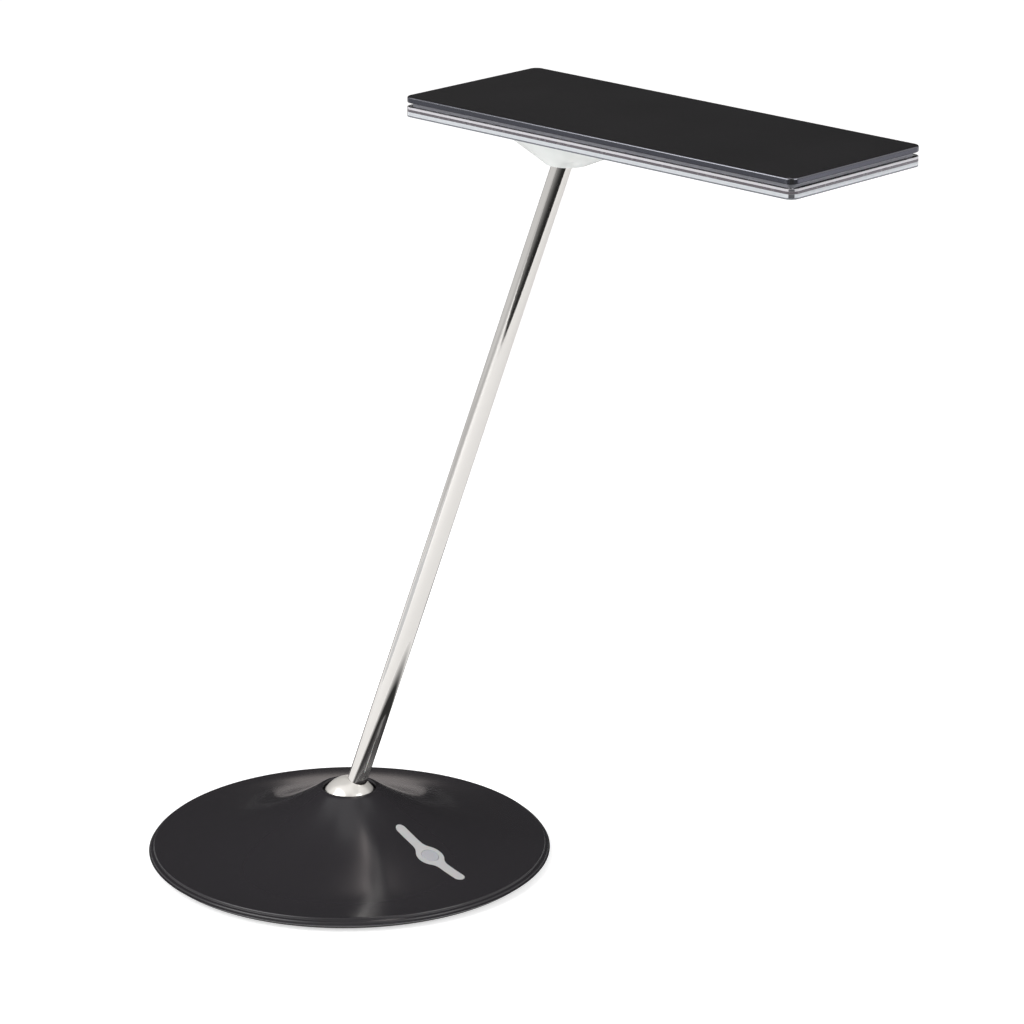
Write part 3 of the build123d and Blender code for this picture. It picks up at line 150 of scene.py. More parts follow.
def dress(node, *finishes):
    """Gives a CAD solid these finishes in place of the pack's plain colour."""
    slots = cad[node].data.materials
    slots.clear()
    for finish in finishes:
        slots.append(finish)


def grain(material, size, detail=2.0, stretch=(1, 1, 1)):
    """Noise whose blotches are about size millimetres, from 0 to 1."""
    place = add(material, "ShaderNodeTexCoord").outputs["Object"]
    squeeze = add(material, "ShaderNodeMapping")
    squeeze.inputs["Scale"].default_value = stretch
    noise = add(material, "ShaderNodeTexNoise")
    noise.inputs["Scale"].default_value = 1 / (size * MM)
    noise.inputs["Detail"].default_value = detail
    join(material, place, squeeze.inputs["Vector"])
    join(material, squeeze.outputs["Vector"], noise.inputs["Vector"])
    return noise.outputs["Fac"]


def spread(material, value, low, high, start=0.3, end=0.7):
    """Stretches a mask from start and end to low and high."""
    ramp = add(material, "ShaderNodeMapRange")
    for name, number in (("From Min", start), ("From Max", end), ("To Min", low), ("To Max", high)):
        ramp.inputs[name].default_value = number
    join(material, value, ramp.inputs["Value"])
    return ramp.outputs["Result"]


def tint(material, mask, first, second):
    """A colour that goes from first to second with a mask."""
    mix = add(material, "ShaderNodeMix", data_type="RGBA")
    mix.inputs["A"].default_value = (*first, 1)
    mix.inputs["B"].default_value = (*second, 1)
    join(material, mask, mix.inputs["Factor"])
    return mix.outputs["Result"]


def worn_edges(material, radius):
    """A mask that is 1 on edges sharper than radius millimetres and 0 on flat ground."""
    soft = add(material, "ShaderNodeBevel", samples=4)
    soft.inputs["Radius"].default_value = radius * MM
    true = add(material, "ShaderNodeNewGeometry")
    compare = add(material, "ShaderNodeVectorMath", operation="DOT_PRODUCT")
    join(material, soft.outputs["Normal"], compare.inputs[0])
    join(material, true.outputs["Normal"], compare.inputs[1])
    return spread(material, compare.outputs["Value"], 1, 0, 0.86, 0.985)


def rough(material, value):
    join(material, value, shader_of(material).inputs["Roughness"])


def colour(material, value):
    join(material, value, shader_of(material).inputs["Base Color"])


def relief(material, height, depth, strength=1.0):
    """Bump with a height of depth millimetres."""
    bump = add(material, "ShaderNodeBump")
    bump.inputs["Strength"].default_value = strength
    bump.inputs["Distance"].default_value = depth * MM
    join(material, height, bump.inputs["Height"])
    join(material, bump.outputs["Normal"], shader_of(material).inputs["Normal"])


print("finish helpers ready")

# %% [markdown]
# ## Satin paint of the base
# The base is a pressed shell, sprayed a satin charcoal. Seen close, sprayed paint has a
# faint orange peel, and its gloss varies a little where hands wipe it. The colour is
# almost black, so nearly all that the eye sees on it is the soft reflection of lights,
# and that makes its roughness the value that matters most.

# %% Paint of the base
CHARCOAL = (0.0285, 0.0264, 0.0296)


def satin_paint():
    paint = new_finish("satin_charcoal_paint", Base_Color=(*CHARCOAL, 1), Roughness=0.18)
    shader_of(paint).inputs["Specular IOR Level"].default_value = 0.45
    peel = grain(paint, 0.9, 2.0)
    relief(paint, peel, 0.002)
    rough(paint, spread(paint, grain(paint, 38, 3.0), 0.16, 0.21))
    colour(paint, tint(paint, worn_edges(paint, 0.35), CHARCOAL, tuple(1.5 * part for part in CHARCOAL)))
    return paint


charcoal = satin_paint()
dress("base_pan", charcoal)
print("painted:", charcoal.name)

# %% [markdown]
# ## Black skin of the head
# The head's top cover is thin and flat, in a finer satin black than the base. A very
# fine, even texture keeps it from looking like a sheet of dark glass. Its sides take a
# paler metallic tone, partly their real reflection of the bright ground beside the lamp
# and partly painted reflection. The narrow turn above them takes a paler tone still, a
# painted highlight that draws the one thin bright line that shows how thick the cover is,
# and its corner faces are painted near black, a painted shade. Each face takes its finish
# from the way that it looks.

# %% Skin of the head's top cover
def satin_black():
    skin = new_finish("satin_black_skin", Base_Color=(0.017, 0.0165, 0.0178, 1), Roughness=0.38)
    shader_of(skin).inputs["Specular IOR Level"].default_value = 0.45
    relief(skin, grain(skin, 0.35, 1.0), 0.003)
    rough(skin, spread(skin, grain(skin, 45, 3.0), 0.36, 0.42))
    colour(skin, tint(skin, worn_edges(skin, 0.3), (0.017, 0.0165, 0.0178), (0.03, 0.03, 0.032)))
    return skin


def moulded_plastic(name, tone, low, high):
    plastic = new_finish(name, Base_Color=(*tone, 1), Roughness=low)
    sparks = grain(plastic, 0.25, 2.0)
    rough(plastic, spread(plastic, sparks, low, high))
    relief(plastic, sparks, 0.01)
    return plastic


def edge_with_painted_sheen(name, tone, metal, low, high):
    """The cover's side and turn: metallic, a little glossier than the skin, in a pale tone that paints in
    reflection and highlight.
    """
    edge = new_finish(name, Base_Color=(*tone, 1), Metallic=metal, Roughness=low)
    drawn = grain(edge, 1.2, 2.0, (1.0, 1.0, 0.1))
    rough(edge, spread(edge, drawn, low, high))
    relief(edge, drawn, 0.001)
    return edge


SKIN, SIDE, RIM, SHADED_CORNER = range(4)      # the order in which the cover gets its finishes
TOP_FROM, RIM_FROM = 0.97, 0.2       # by how far a face looks up
CORNER_TURN = 0.5                    # a corner face looks at least this far along both sides

# Painted light on the cover: the side's paler metallic tone is partly painted reflection, the turn's paler tone is
# a painted highlight, and the corners' near black is a painted shade.
dress(
    "top_cover",
    satin_black(),
    edge_with_painted_sheen("side_painted_reflection", (0.062, 0.063, 0.076), 0.75, 0.15, 0.22),
    edge_with_painted_sheen("rim_painted_highlight", (0.17, 0.17, 0.19), 0.95, 0.14, 0.2),
    moulded_plastic("cover_corner_painted_shade", (0.012, 0.012, 0.013), 0.3, 0.4),
)
for face in cad["top_cover"].data.polygons:
    x, y, up = face.normal
    if min(abs(x), abs(y)) > CORNER_TURN:
        face.material_index = SHADED_CORNER
    elif up > TOP_FROM or up < -RIM_FROM:
        face.material_index = SKIN
    else:
        face.material_index = RIM if up > RIM_FROM else SIDE
print("top cover finished in 4 zones")

# %% [markdown]
# ## Chrome
# Chrome has hardly a colour of its own: it is a mirror that gives back about seven
# tenths of the light, here a trace warmer than grey. Real plating isn't perfect, so its
# roughness drifts a little, and a trace of polishing waves runs along the tube.

# %% Chrome of the stem
def polished_chrome(name, wave):
    chrome = new_finish(name, Base_Color=(0.71, 0.69, 0.665, 1), Metallic=1.0, Roughness=0.05)
    rough(chrome, spread(chrome, grain(chrome, 24, 3.0), 0.03, 0.07))
    relief(chrome, grain(chrome, wave, 1.0), 0.004)
    return chrome


dress("stem_tube", polished_chrome("stem_chrome", 6.0))
print("chrome on the stem")

# %% [markdown]
# The balls aren't mirrors. Their friction lining rides on them, so they are brushed to a
# fine satin and plated over it. Such a surface mixes what it mirrors with a warm white of
# its own, and stays pale even where it faces the dark.

# %% Satin nickel of the balls
def satin_nickel():
    nickel = new_finish("satin_nickel", Base_Color=(0.9, 0.87, 0.82, 1), Metallic=0.35, Roughness=0.2)
    brushed = grain(nickel, 5.0, 2.0)
    rough(nickel, spread(nickel, brushed, 0.17, 0.23))
    colour(nickel, tint(nickel, grain(nickel, 11, 2.0), (0.86, 0.83, 0.78), (0.93, 0.9, 0.86)))
    relief(nickel, grain(nickel, 7.0, 1.0), 0.01)
    return nickel


ball_nickel = satin_nickel()
for name in ("base_ball", "top_ball"):
    dress(name, ball_nickel)
print("satin nickel on 2 balls")

# %% [markdown]
# ## Clear plastic
# The sheets and the funnel under the head are acrylic. Their flat faces are polished and
# clear. Their edges are sawn and only flamed over, so they scatter light: against a white
# studio they read as pale, watery grey lines, never as dark glass. Each acrylic casts no
# shadow, because the light that it takes comes out again beside it.

# %% Clear faces, hazy edges and the funnel's acrylic
def clear_face():
    """A polished acrylic face: one sees through it, and it has a quiet gloss."""
    face = new_finish("clear_face", Base_Color=(0.96, 0.98, 0.98, 1), IOR=1.49, Transmission_Weight=1.0)
    rough(face, spread(face, grain(face, 30, 2.0), 0.01, 0.04))
    relief(face, grain(face, 6, 1.0), 0.002)
    return face


def hazy_edge(name, tone, low, high):
    """An acrylic edge in a given tone: pale for a sawn edge that catches light, dark where it is painted shade."""
    edge = new_finish(name, Base_Color=(*tone, 1), IOR=1.49, Transmission_Weight=0.12)
    rough(edge, spread(edge, grain(edge, 3, 2.0), low, high))
    faded = tuple(part * 0.95 for part in tone)
    colour(edge, tint(edge, grain(edge, 22, 2.0), faded, tone))
    relief(edge, grain(edge, 0.4, 2.0), 0.003)
    return edge


FUNNEL_PAINTED_GLOW = 0.2      # painted glow: emission standing in for light that the acrylic carries round from its far side


def funnel_acrylic():
    """Clear acrylic with waves in it: mostly one sees the white behind it, and a faint emission adds a painted
    glow.
    """
    funnel = new_finish("funnel_acrylic", Base_Color=(0.9, 0.92, 0.91, 1), IOR=1.49, Alpha=0.6)
    shader_of(funnel).inputs["Emission Color"].default_value = (0.97, 1.0, 0.98, 1)
    shader_of(funnel).inputs["Emission Strength"].default_value = FUNNEL_PAINTED_GLOW
    waves = grain(funnel, 9, 2.0)
    colour(funnel, tint(funnel, waves, (0.8, 0.82, 0.81), (0.95, 0.96, 0.95)))
    rough(funnel, spread(funnel, waves, 0.05, 0.14))
    relief(funnel, waves, 0.05)
    return funnel


dress("clear_funnel", funnel_acrylic())
cad["clear_funnel"].visible_shadow = False
print("acrylic on the funnel")

# %% [markdown]
# ## Milky bar and button
# The touch bar is a milky light guide let into the paint, with a button in its middle.
# Unlit, it is a quiet light grey with a soft gloss. The button is a shade darker and a
# little cooler, which is all that tells it from the bar.

# %% Milky plastics of the bar and the button
def milky_plastic(name, tone, low, high):
    milk = new_finish(
        name, Base_Color=(*tone, 1), Roughness=low, Subsurface_Weight=0.15, Subsurface_Scale=0.002
    )
    rough(milk, spread(milk, grain(milk, 9, 2.0), low, high))
    paler = tuple(min(1, part * 1.08) for part in tone)
    colour(milk, tint(milk, grain(milk, 5, 2.0), tone, paler))
    relief(milk, grain(milk, 0.5, 1.0), 0.002)
    return milk


dress("touch_bar", milky_plastic("milky_bar", (0.53, 0.53, 0.53), 0.34, 0.44))
dress("dimmer_button", milky_plastic("milky_button", (0.46, 0.46, 0.49), 0.3, 0.4))
print("bar and button finished")

# %% [markdown]
# ## Metals that aren't plated
# Turned steel and aluminium keep fine rings from the lathe, zinc-plated screws have a
# cloudy blue-grey skin, and the neck frame in the head is anodised a mid grey whose
# paleness is painted light: it lifts the shaded gap between the head's two plates, so
# that the gap reads as pale as the cover's side.

# %% Turned, plated, anodised and cast metals
def turned_metal(name, tone, low, high):
    metal = new_finish(name, Base_Color=(*tone, 1), Metallic=1.0, Roughness=low)
    rings = grain(metal, 0.6, 2.0, (0.15, 0.15, 3.0))
    rough(metal, spread(metal, rings, low, high))
    relief(metal, rings, 0.006)
    return metal


def zinc_plate():
    zinc = new_finish("zinc_plate", Base_Color=(0.55, 0.56, 0.58, 1), Metallic=1.0, Roughness=0.35)
    clouds = grain(zinc, 1.2, 3.0)
    colour(zinc, tint(zinc, clouds, (0.5, 0.52, 0.56), (0.6, 0.6, 0.58)))
    rough(zinc, spread(zinc, clouds, 0.28, 0.45))
    return zinc


def anodising_painted_light():
    # The mid grey is painted light, lifting the neck frame in the shaded gap between the plates.
    lit_neck = new_finish("anodising_painted_light", Base_Color=(0.3, 0.3, 0.33, 1), Metallic=0.5, Roughness=0.3)
    drawn = grain(lit_neck, 0.4, 2.0, (0.05, 0.05, 1.0))
    rough(lit_neck, spread(lit_neck, drawn, 0.26, 0.36))
    relief(lit_neck, drawn, 0.003)
    return lit_neck


def sand_cast_iron():
    iron = new_finish("sand_cast_iron", Base_Color=(0.09, 0.088, 0.085, 1), Metallic=0.4, Roughness=0.75)
    sand = grain(iron, 1.1, 5.0)
    colour(iron, tint(iron, sand, (0.06, 0.058, 0.056), (0.12, 0.115, 0.11)))
    relief(iron, sand, 0.12)
    return iron


metals = {
    "cup_metal": turned_metal("turned_steel", (0.5, 0.5, 0.5), 0.22, 0.38),
    "steel_pin": turned_metal("ground_steel", (0.58, 0.58, 0.58), 0.16, 0.28),
    "cup_aluminium": turned_metal("turned_aluminium", (0.74, 0.745, 0.75), 0.2, 0.34),
    "zinc_screw": zinc_plate(),
    "neck_aluminium": anodising_painted_light(),
    "iron": sand_cast_iron(),
}
print("metals:", ", ".join(metals))

# %% [markdown]
# ## Plastics, rubber and boards
# These sit inside or underneath, but the lamp can be taken apart, so each has its own
# look: moulded black plastic with a spark-eroded grain, rubber that is dull and dusty,
# a lead with a smooth sheath, and boards with the faint weave of their glass fibre.

# %% Moulded plastic, rubber, sheath and boards
def foot_rubber():
    rubber = new_finish("foot_rubber", Base_Color=(0.02, 0.02, 0.02, 1), Roughness=0.85)
    dust = grain(rubber, 7, 4.0)
    colour(rubber, tint(rubber, dust, (0.016, 0.016, 0.016), (0.03, 0.029, 0.028)))
    rough(rubber, spread(rubber, dust, 0.78, 0.95))
    relief(rubber, grain(rubber, 0.3, 2.0), 0.02)
    return rubber


def fibre_board(name, tone, paler):
    board = new_finish(name, Base_Color=(*tone, 1), Roughness=0.35, Coat_Weight=0.4, Coat_Roughness=0.2)
    weave = grain(board, 0.5, 1.0, (1.0, 0.25, 1.0))
    colour(board, tint(board, weave, tone, paler))
    rough(board, spread(board, weave, 0.3, 0.42))
    return board


def white_film():
    film = new_finish("white_film", Base_Color=(0.86, 0.86, 0.86, 1), Roughness=0.5)
    colour(film, tint(film, grain(film, 6, 2.0), (0.84, 0.845, 0.85), (0.89, 0.89, 0.885)))
    rough(film, spread(film, grain(film, 0.8, 2.0), 0.42, 0.6))
    return film


def phosphor():
    glow = new_finish("phosphor", Base_Color=(0.85, 0.72, 0.25, 1), Roughness=0.4, Coat_Weight=0.6)
    colour(glow, tint(glow, grain(glow, 0.3, 2.0), (0.83, 0.68, 0.2), (0.9, 0.8, 0.36)))
    rough(glow, spread(glow, grain(glow, 0.6, 2.0), 0.3, 0.5))
    return glow


def gold_contact():
    gold = new_finish("gold_contact", Base_Color=(0.85, 0.65, 0.3, 1), Metallic=1.0, Roughness=0.2)
    rough(gold, spread(gold, grain(gold, 0.5, 2.0), 0.15, 0.3))
    return gold


plastics = {
    "socket_plastic": moulded_plastic("bearing_plastic", (0.018, 0.018, 0.019), 0.42, 0.55),
    "connector": moulded_plastic("connector_plastic", (0.025, 0.025, 0.026), 0.5, 0.62),
    "rubber": foot_rubber(),
    "lead_sheath": moulded_plastic("lead_sheath", (0.03, 0.03, 0.031), 0.5, 0.6),
    "board": fibre_board("green_board", (0.02, 0.13, 0.05), (0.03, 0.18, 0.07)),
    "white_board": fibre_board("white_board", (0.8, 0.8, 0.79), (0.86, 0.86, 0.85)),
    "reflector": white_film(),
    "led_package": phosphor(),
    "contact": gold_contact(),
}
print("plastics and boards:", ", ".join(plastics))

# %% [markdown]
# ## Give every solid its finish
# The record says which slot each solid takes. The visible ones were done by name above,
# and the rest follow their slots, so no solid is left with the pack's plain colour.

# %% Finish the solids by their slots
by_slot = {**metals, **plastics}
finished = 0
for entry in frame["record"]["subparts"]:
    if entry["material_slot"] in by_slot:
        dress(entry["node"], by_slot[entry["material_slot"]])
        finished += 1
print(finished, "solids finished by slot")

# %% [markdown]
# ## Helpers for pieces that the CAD doesn't have
# The CAD stops at the forms that a designer dimensions. The forms below are made from
# outlines: a slab with softened edges, and a profile turned about an axis. Each piece is
# made in place, in metres, and then rides on the body that carries it.

# %% Piece helpers
CORNER_STEPS = 10
EDGE_STEPS = 3
SHARP_FROM = math.radians(35)


def outline(form, low, high, corner, inset, height):
    """A ring of points round a rectangle with round corners, moved in by inset."""
    middle, half = (low + high) / 2, (high - low) / 2
    ring = []
    for quarter, (right, far) in enumerate(((1, 1), (-1, 1), (-1, -1), (1, -1))):
        for step in range(CORNER_STEPS + 1):
            angle = math.pi / 2 * (quarter + step / CORNER_STEPS)
            reach = max(corner - inset, 0.0001)
            x = middle.x + right * (half.x - inset - reach) + reach * math.cos(angle)
            y = middle.y + far * (half.y - inset - reach) + reach * math.sin(angle)
            ring.append(form.verts.new((x, y, height)))
    return ring


def skin_between(form, rings):
    """Faces between each ring of points and the next."""
    for lower, upper in zip(rings, rings[1:]):
        for here in range(len(lower)):
            after = (here + 1) % len(lower)
            form.faces.new((lower[here], lower[after], upper[after], upper[here]))


def slab(low, high, corner, edge):
    """A flat slab with round corners and softened edges, between two corners in metres."""
    form = bmesh.new()
    bends = [math.pi / 2 * step / EDGE_STEPS for step in range(EDGE_STEPS + 1)]
    rise = [(edge * (1 - math.sin(bend)), low.z + edge * (1 - math.cos(bend))) for bend in bends]
    rise += [(inset, low.z + high.z - height) for inset, height in reversed(rise)]
    rings = [outline(form, low, high, corner, inset, height) for inset, height in rise]
    skin_between(form, rings)
    form.faces.new(list(reversed(rings[0])))
    form.faces.new(rings[-1])
    return form


def band(low, high, corner, width):
    """A flat rectangular frame with round corners, width metres wide."""
    form = bmesh.new()
    rings = [
        outline(form, low, high, corner, inset, height)
        for inset, height in ((0, low.z), (0, high.z), (width, high.z), (width, low.z))
    ]
    skin_between(form, rings + rings[:1])
    return form


def lathe(profile, centre, axis=(0, 0, 1), segments=96):
    """A closed profile of (radius, height) millimetres, turned about an axis through centre."""
    form = bmesh.new()
    lean = Vector((0, 0, 1)).rotation_difference(Vector(axis))
    spokes = []
    for step in range(segments):
        angle = 2 * math.pi * step / segments
        spokes.append([
            form.verts.new(centre + lean @ Vector((out * math.cos(angle), out * math.sin(angle), up)) * MM)
            for out, up in profile
        ])
    for spoke, following in zip(spokes, spokes[1:] + spokes[:1]):
        for here in range(len(profile)):
            after = (here + 1) % len(profile)
            form.faces.new((spoke[here], following[here], following[after], spoke[after]))
    return form


def object_of(name, form):
    """Puts a form into the scene as an object, and uses the form up."""
    made = bpy.data.objects.new(name, bpy.data.meshes.new(name))
    form.to_mesh(made.data)
    form.free()
    bpy.context.collection.objects.link(made)
    return made


def new_piece(name, form, finish, body, stands_for=()):
    """Makes a named piece of a form, in a finish, riding on a body."""
    bmesh.ops.recalc_face_normals(form, faces=form.faces)
    piece = object_of(name, form)
    piece.data.shade_smooth()
    piece.data.set_sharp_from_angle(angle=SHARP_FROM)
    piece.data.materials.append(finish)
    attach(piece, body)
    if stands_for:
        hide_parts(*stands_for)
    return piece


def lumps(node):
    """The low and high corners of each separate lump of a CAD solid."""
    form = bmesh.new()
    form.from_mesh(cad[node].data)
    bmesh.ops.remove_doubles(form, verts=form.verts, dist=1e-6)
    found, left = [], set(form.verts)
    while left:
        lump, edge = set(), [left.pop()]
        while edge:
            vert = edge.pop()
            lump.add(vert)
            for link in vert.link_edges:
                other = link.other_vert(vert)
                if other in left:
                    left.remove(other)
                    edge.append(other)
        places = [vert.co for vert in lump]
        low = Vector([min(place[axis] for place in places) for axis in range(3)])
        high = Vector([max(place[axis] for place in places) for axis in range(3)])
        found.append((low, high))
    form.free()
    return found


def carve(form, cutter_form):
    """Cuts one closed form out of another and gives back what is left."""
    things = []
    for name, shape in (("work", form), ("cutter", cutter_form)):
        bmesh.ops.recalc_face_normals(shape, faces=shape.faces)
        things.append(object_of(name, shape))
    cut = things[0].modifiers.new("cut", "BOOLEAN")
    cut.solver = "EXACT"
    cut.object = things[1]
    left = bpy.data.meshes.new_from_object(things[0].evaluated_get(bpy.context.evaluated_depsgraph_get()))
    carved = bmesh.new()
    carved.from_mesh(left)
    for thing in things:
        bpy.data.objects.remove(thing)
    return carved


def drill(form, holes, low, high):
    """Cuts round holes, given as (place, radius), through a form, from low to high."""
    pegs = bmesh.new()
    for place, radius in holes:
        move = Matrix.Translation((place.x, place.y, (low + high) / 2))
        bmesh.ops.create_cone(
            pegs, cap_ends=True, segments=48, radius1=radius, radius2=radius, depth=high - low, matrix=move
        )
    return carve(form, pegs)


print("piece helpers ready")

# %% [markdown]
# ## The clear plate is a sandwich
# Seen edge on, the plate under the head isn't one block. There is a thin bright line,
# then a smoky one, then a broad pale band with a fine dark line at its foot. Two clear
# slabs with the plate's outline, a light guide and a clear cover sheet, draw the bright
# line and the pale band. Between and under them, two dark frames of painted shade draw
# the smoky band and the fine dark line. That shows from every side, and from below one
# still looks through clear sheet at the lights. The slabs' round corners are painted
# darker than their edges, a painted shade, as the photograph shows them.

# %% Light guide, cover sheet, and the frames of painted shade
GUIDE_SHARE = (0.74, 1.0)     # the guide's part of the plate's thickness, from below
SHADE_BAND_SHARE = (0.5, 0.74)
SHEET_SHARE = (0.13, 0.5)
SHADE_LINE_SHARE = (0.0, 0.13)
PLATE_CORNER = 5.0
SHADE_BAND_FRAME = 9.5              # as wide as the neck frame's wall and its inset
SHADE_LINE_FRAME = 0.6
HAIR = 0.02                   # between layers, so that their faces don't fight
HOLE_PAST = 0.001
BOSS_ROOM = 8.1               # radius of the hole for the bearing boss
SHANK_ROOM = 1.35
SCREW_HEAD_ROOM = 2.5
FLAT = 0.9                    # by how far a face looks up or down
CORNER_FROM = 0.4             # corner faces lie this far out, so that screw holes aren't meant
CLEAR, EDGE, DARK_CORNER = range(3)

clear_sheet = clear_face()
guide_edge = hazy_edge("guide_edge", (0.72, 0.7, 0.735), 0.15, 0.25)
sheet_edge = hazy_edge("sheet_edge", (0.72, 0.745, 0.78), 0.12, 0.25)
# The three dark edge finishes below are painted shade: the fine dark line at the plate's foot, its round corners
# and the smoky band.
painted_shade_line = hazy_edge("painted_shade_line", (0.2, 0.21, 0.235), 0.15, 0.3)
corner_painted_shade = hazy_edge("corner_painted_shade", (0.12, 0.12, 0.13), 0.12, 0.25)
painted_shade_band = hazy_edge("painted_shade_band", (0.15, 0.135, 0.15), 0.2, 0.3)


def corners_of(node):
    """Low and high corner of a CAD solid's box, as vectors."""
    low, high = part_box(node)
    return Vector(low), Vector(high)


plate_low, plate_high = corners_of("clear_plate")
plate_depth = plate_high.z - plate_low.z
boss_place = Vector(joints["head_swivel"]["pos_m"])
screw_lumps = lumps("plate_screws")


def layer_corners(share):
    """The corners of a layer that takes a share of the plate's thickness."""
    low = Vector((plate_low.x, plate_low.y, plate_low.z + plate_depth * share[0]))
    high = Vector((plate_high.x, plate_high.y, plate_low.z + plate_depth * share[1] - HAIR * MM))
    return low, high


def clear_layer(name, share, edge, screw_room, rim_finish, stands_for=()):
    """A slab of the plate with clear faces, hazy edges, round corners in painted shade, and its holes."""
    low, high = layer_corners(share)
    holes = [(boss_place, BOSS_ROOM * MM)]
    holes += [((lower + upper) / 2, screw_room * MM) for lower, upper in screw_lumps]
    form = drill(slab(low, high, PLATE_CORNER * MM, edge * MM), holes, low.z - HOLE_PAST, high.z + HOLE_PAST)
    layer = new_piece(name, form, clear_sheet, "head", stands_for)
    layer.data.materials.append(rim_finish)
    layer.data.materials.append(corner_painted_shade)
    for face in layer.data.polygons:
        x, y, z = (abs(part) for part in face.normal)
        far_out = abs(face.center.y - (low.y + high.y) / 2) > CORNER_FROM * (high.y - low.y)
        corner = min(x, y) > CORNER_TURN and far_out
        face.material_index = CLEAR if z > FLAT else DARK_CORNER if corner else EDGE
    layer.visible_shadow = False
    return layer


def frame_layer(name, share, width, finish):
    """A rectangular frame along the plate's edge, width millimetres wide."""
    low, high = layer_corners(share)
    layer = new_piece(name, band(low, high, PLATE_CORNER * MM, width * MM), finish, "head")
    layer.visible_shadow = False
    return layer


clear_layer("light_guide", GUIDE_SHARE, 0.2, SHANK_ROOM, guide_edge)
# The two frames are dark bands of painted shade along the plate's edge: the smoky band, and the fine dark line at
# its foot.
frame_layer("band_of_painted_shade", SHADE_BAND_SHARE, SHADE_BAND_FRAME, painted_shade_band)
clear_layer("cover_sheet", SHEET_SHARE, 0.1, SCREW_HEAD_ROOM, sheet_edge, ("clear_plate",))
frame_layer("line_of_painted_shade", SHADE_LINE_SHARE, SHADE_LINE_FRAME, painted_shade_line)
print("plate in 4 layers, round", len(screw_lumps), "screws")

# %% [markdown]
# ## Light sources
# In the CAD each led is a small block. A real one is a white ceramic cup with a yellow
# phosphor pool in it. They are small, but the underside shows all of them through the
# clear plate, and their even grid is what makes it look real.

# %% Cups and phosphor of the leds
CUP_RIM = 0.35
CUP_DEEP = 0.3
CUP_SOFT = 0.05               # rounding of the cup's outer edge
CUP_FLOOR = 1.5 * CUP_RIM     # how far in the floor starts
POOL_INSET = 1.6 * CUP_RIM
POOL_STEPS = 20
POOL_BULGE = ((1.0, 0.0), (0.96, 0.08), (0.7, 0.14), (0.35, 0.17))    # share of width, drop


def white_ceramic():
    ceramic = new_finish("white_ceramic", Base_Color=(0.86, 0.86, 0.84, 1), Roughness=0.4, Coat_Weight=0.3)
    rough(ceramic, spread(ceramic, grain(ceramic, 0.4, 2.0), 0.3, 0.5))
    return ceramic


cups, pools = bmesh.new(), bmesh.new()
led_lumps = lumps("leds")
for low, high in led_lumps:
    middle, half = (low + high) / 2, (high - low) / 2
    rings = []
    # from the board's side down to the mouth, over the rim and up into the cup
    for shrink, height in (
        (0, high.z), (0, low.z + CUP_SOFT * MM), (CUP_SOFT, low.z), (CUP_RIM, low.z),
        (CUP_FLOOR, low.z + CUP_DEEP * MM),
    ):
        reach_x, reach_y = half.x - shrink * MM, half.y - shrink * MM
        rings.append([
            cups.verts.new((middle.x + side * reach_x, middle.y + far * reach_y, height))
            for side, far in ((1, 1), (-1, 1), (-1, -1), (1, -1))
        ])
    skin_between(cups, rings)
    cups.faces.new(rings[-1])
    cups.faces.new(list(reversed(rings[0])))
    # the pool bulges a little below its cup's floor
    floor_z = low.z + CUP_DEEP * MM
    pool = []
    for share, drop in POOL_BULGE:
        pool.append([
            pools.verts.new((
                middle.x + share * (half.x - POOL_INSET * MM) * math.cos(2 * math.pi * step / POOL_STEPS),
                middle.y + share * (half.y - POOL_INSET * MM) * math.sin(2 * math.pi * step / POOL_STEPS),
                floor_z - drop * MM,
            ))
            for step in range(POOL_STEPS)
        ])
    skin_between(pools, pool)
    pools.faces.new(pool[-1])
    pools.faces.new(list(reversed(pool[0])))

new_piece("led_cups", cups, white_ceramic(), "head", ("leds",))
new_piece("led_phosphor", pools, phosphor(), "head")
print(len(led_lumps), "leds")

# %% [markdown]
# ## The painted shell
# The base's cover is one pressing, spun to a shallow trumpet. What sells it is the soft
# streak of light down its slope, and a streak shows every facet and every seam. So the
# shell is turned again here from its own curve, in far finer steps than the CAD's mesh.
# At the rim the sheet is folded down in two turns with a narrow ledge between them. The
# upper turn draws the thin bright line round the base, the lower one a fainter line.

# %% Profile of the shell, in millimetres from the base's middle
SHELL_RADIUS = 115.0
RIM_HEIGHT = 7.4              # the flare's own height at the rim
HUB_RADIUS, HUB_HEIGHT = 18.6, 39.3
MOUTH_RADIUS, MOUTH_HEIGHT = 14.9, 38.2
SHEET = 2.4
FOLD_FROM = 111.5             # where the flare turns over into the fold
FOLD = (                      # down the fold: how steep, and how far at that steepness
    (15, 0.22), (32, 0.22), (48, 0.24), (62, 0.26), (74, 0.26), (80, 0.36), (50, 0.12), (24, 0.3), (17, 0.97),
    (30, 0.3), (48, 0.32), (64, 0.32), (78, 0.32), (86, 0.3),
)
WIDEST = 114.97               # a hair inside the CAD cover
FOOT_RADIUS, FOOT = 113.8, 3.2
FOOT_SLOPE = 0.9              # height of the slant between the side and the foot
SKIRT_INNER = 112.6
COLLAR_OUTER, COLLAR_INNER = 21.4, 18.4      # the step inside the hub
COLLAR_LOW, COLLAR_HIGH = 33.9, 37.4
LIP_STEPS, FLARE_STEPS, UNDER_STEPS = 12, 72, 24


def flare_height(radius):
    """The trumpet's height: a parabola that is level at the rim."""
    inward = (SHELL_RADIUS - radius) / (SHELL_RADIUS - HUB_RADIUS)
    return RIM_HEIGHT + (HUB_HEIGHT - RIM_HEIGHT) * inward ** 2


hub_slope = 2 * (HUB_HEIGHT - RIM_HEIGHT) / (SHELL_RADIUS - HUB_RADIUS)
lip_peak = HUB_HEIGHT + hub_slope * (HUB_RADIUS - MOUTH_RADIUS)


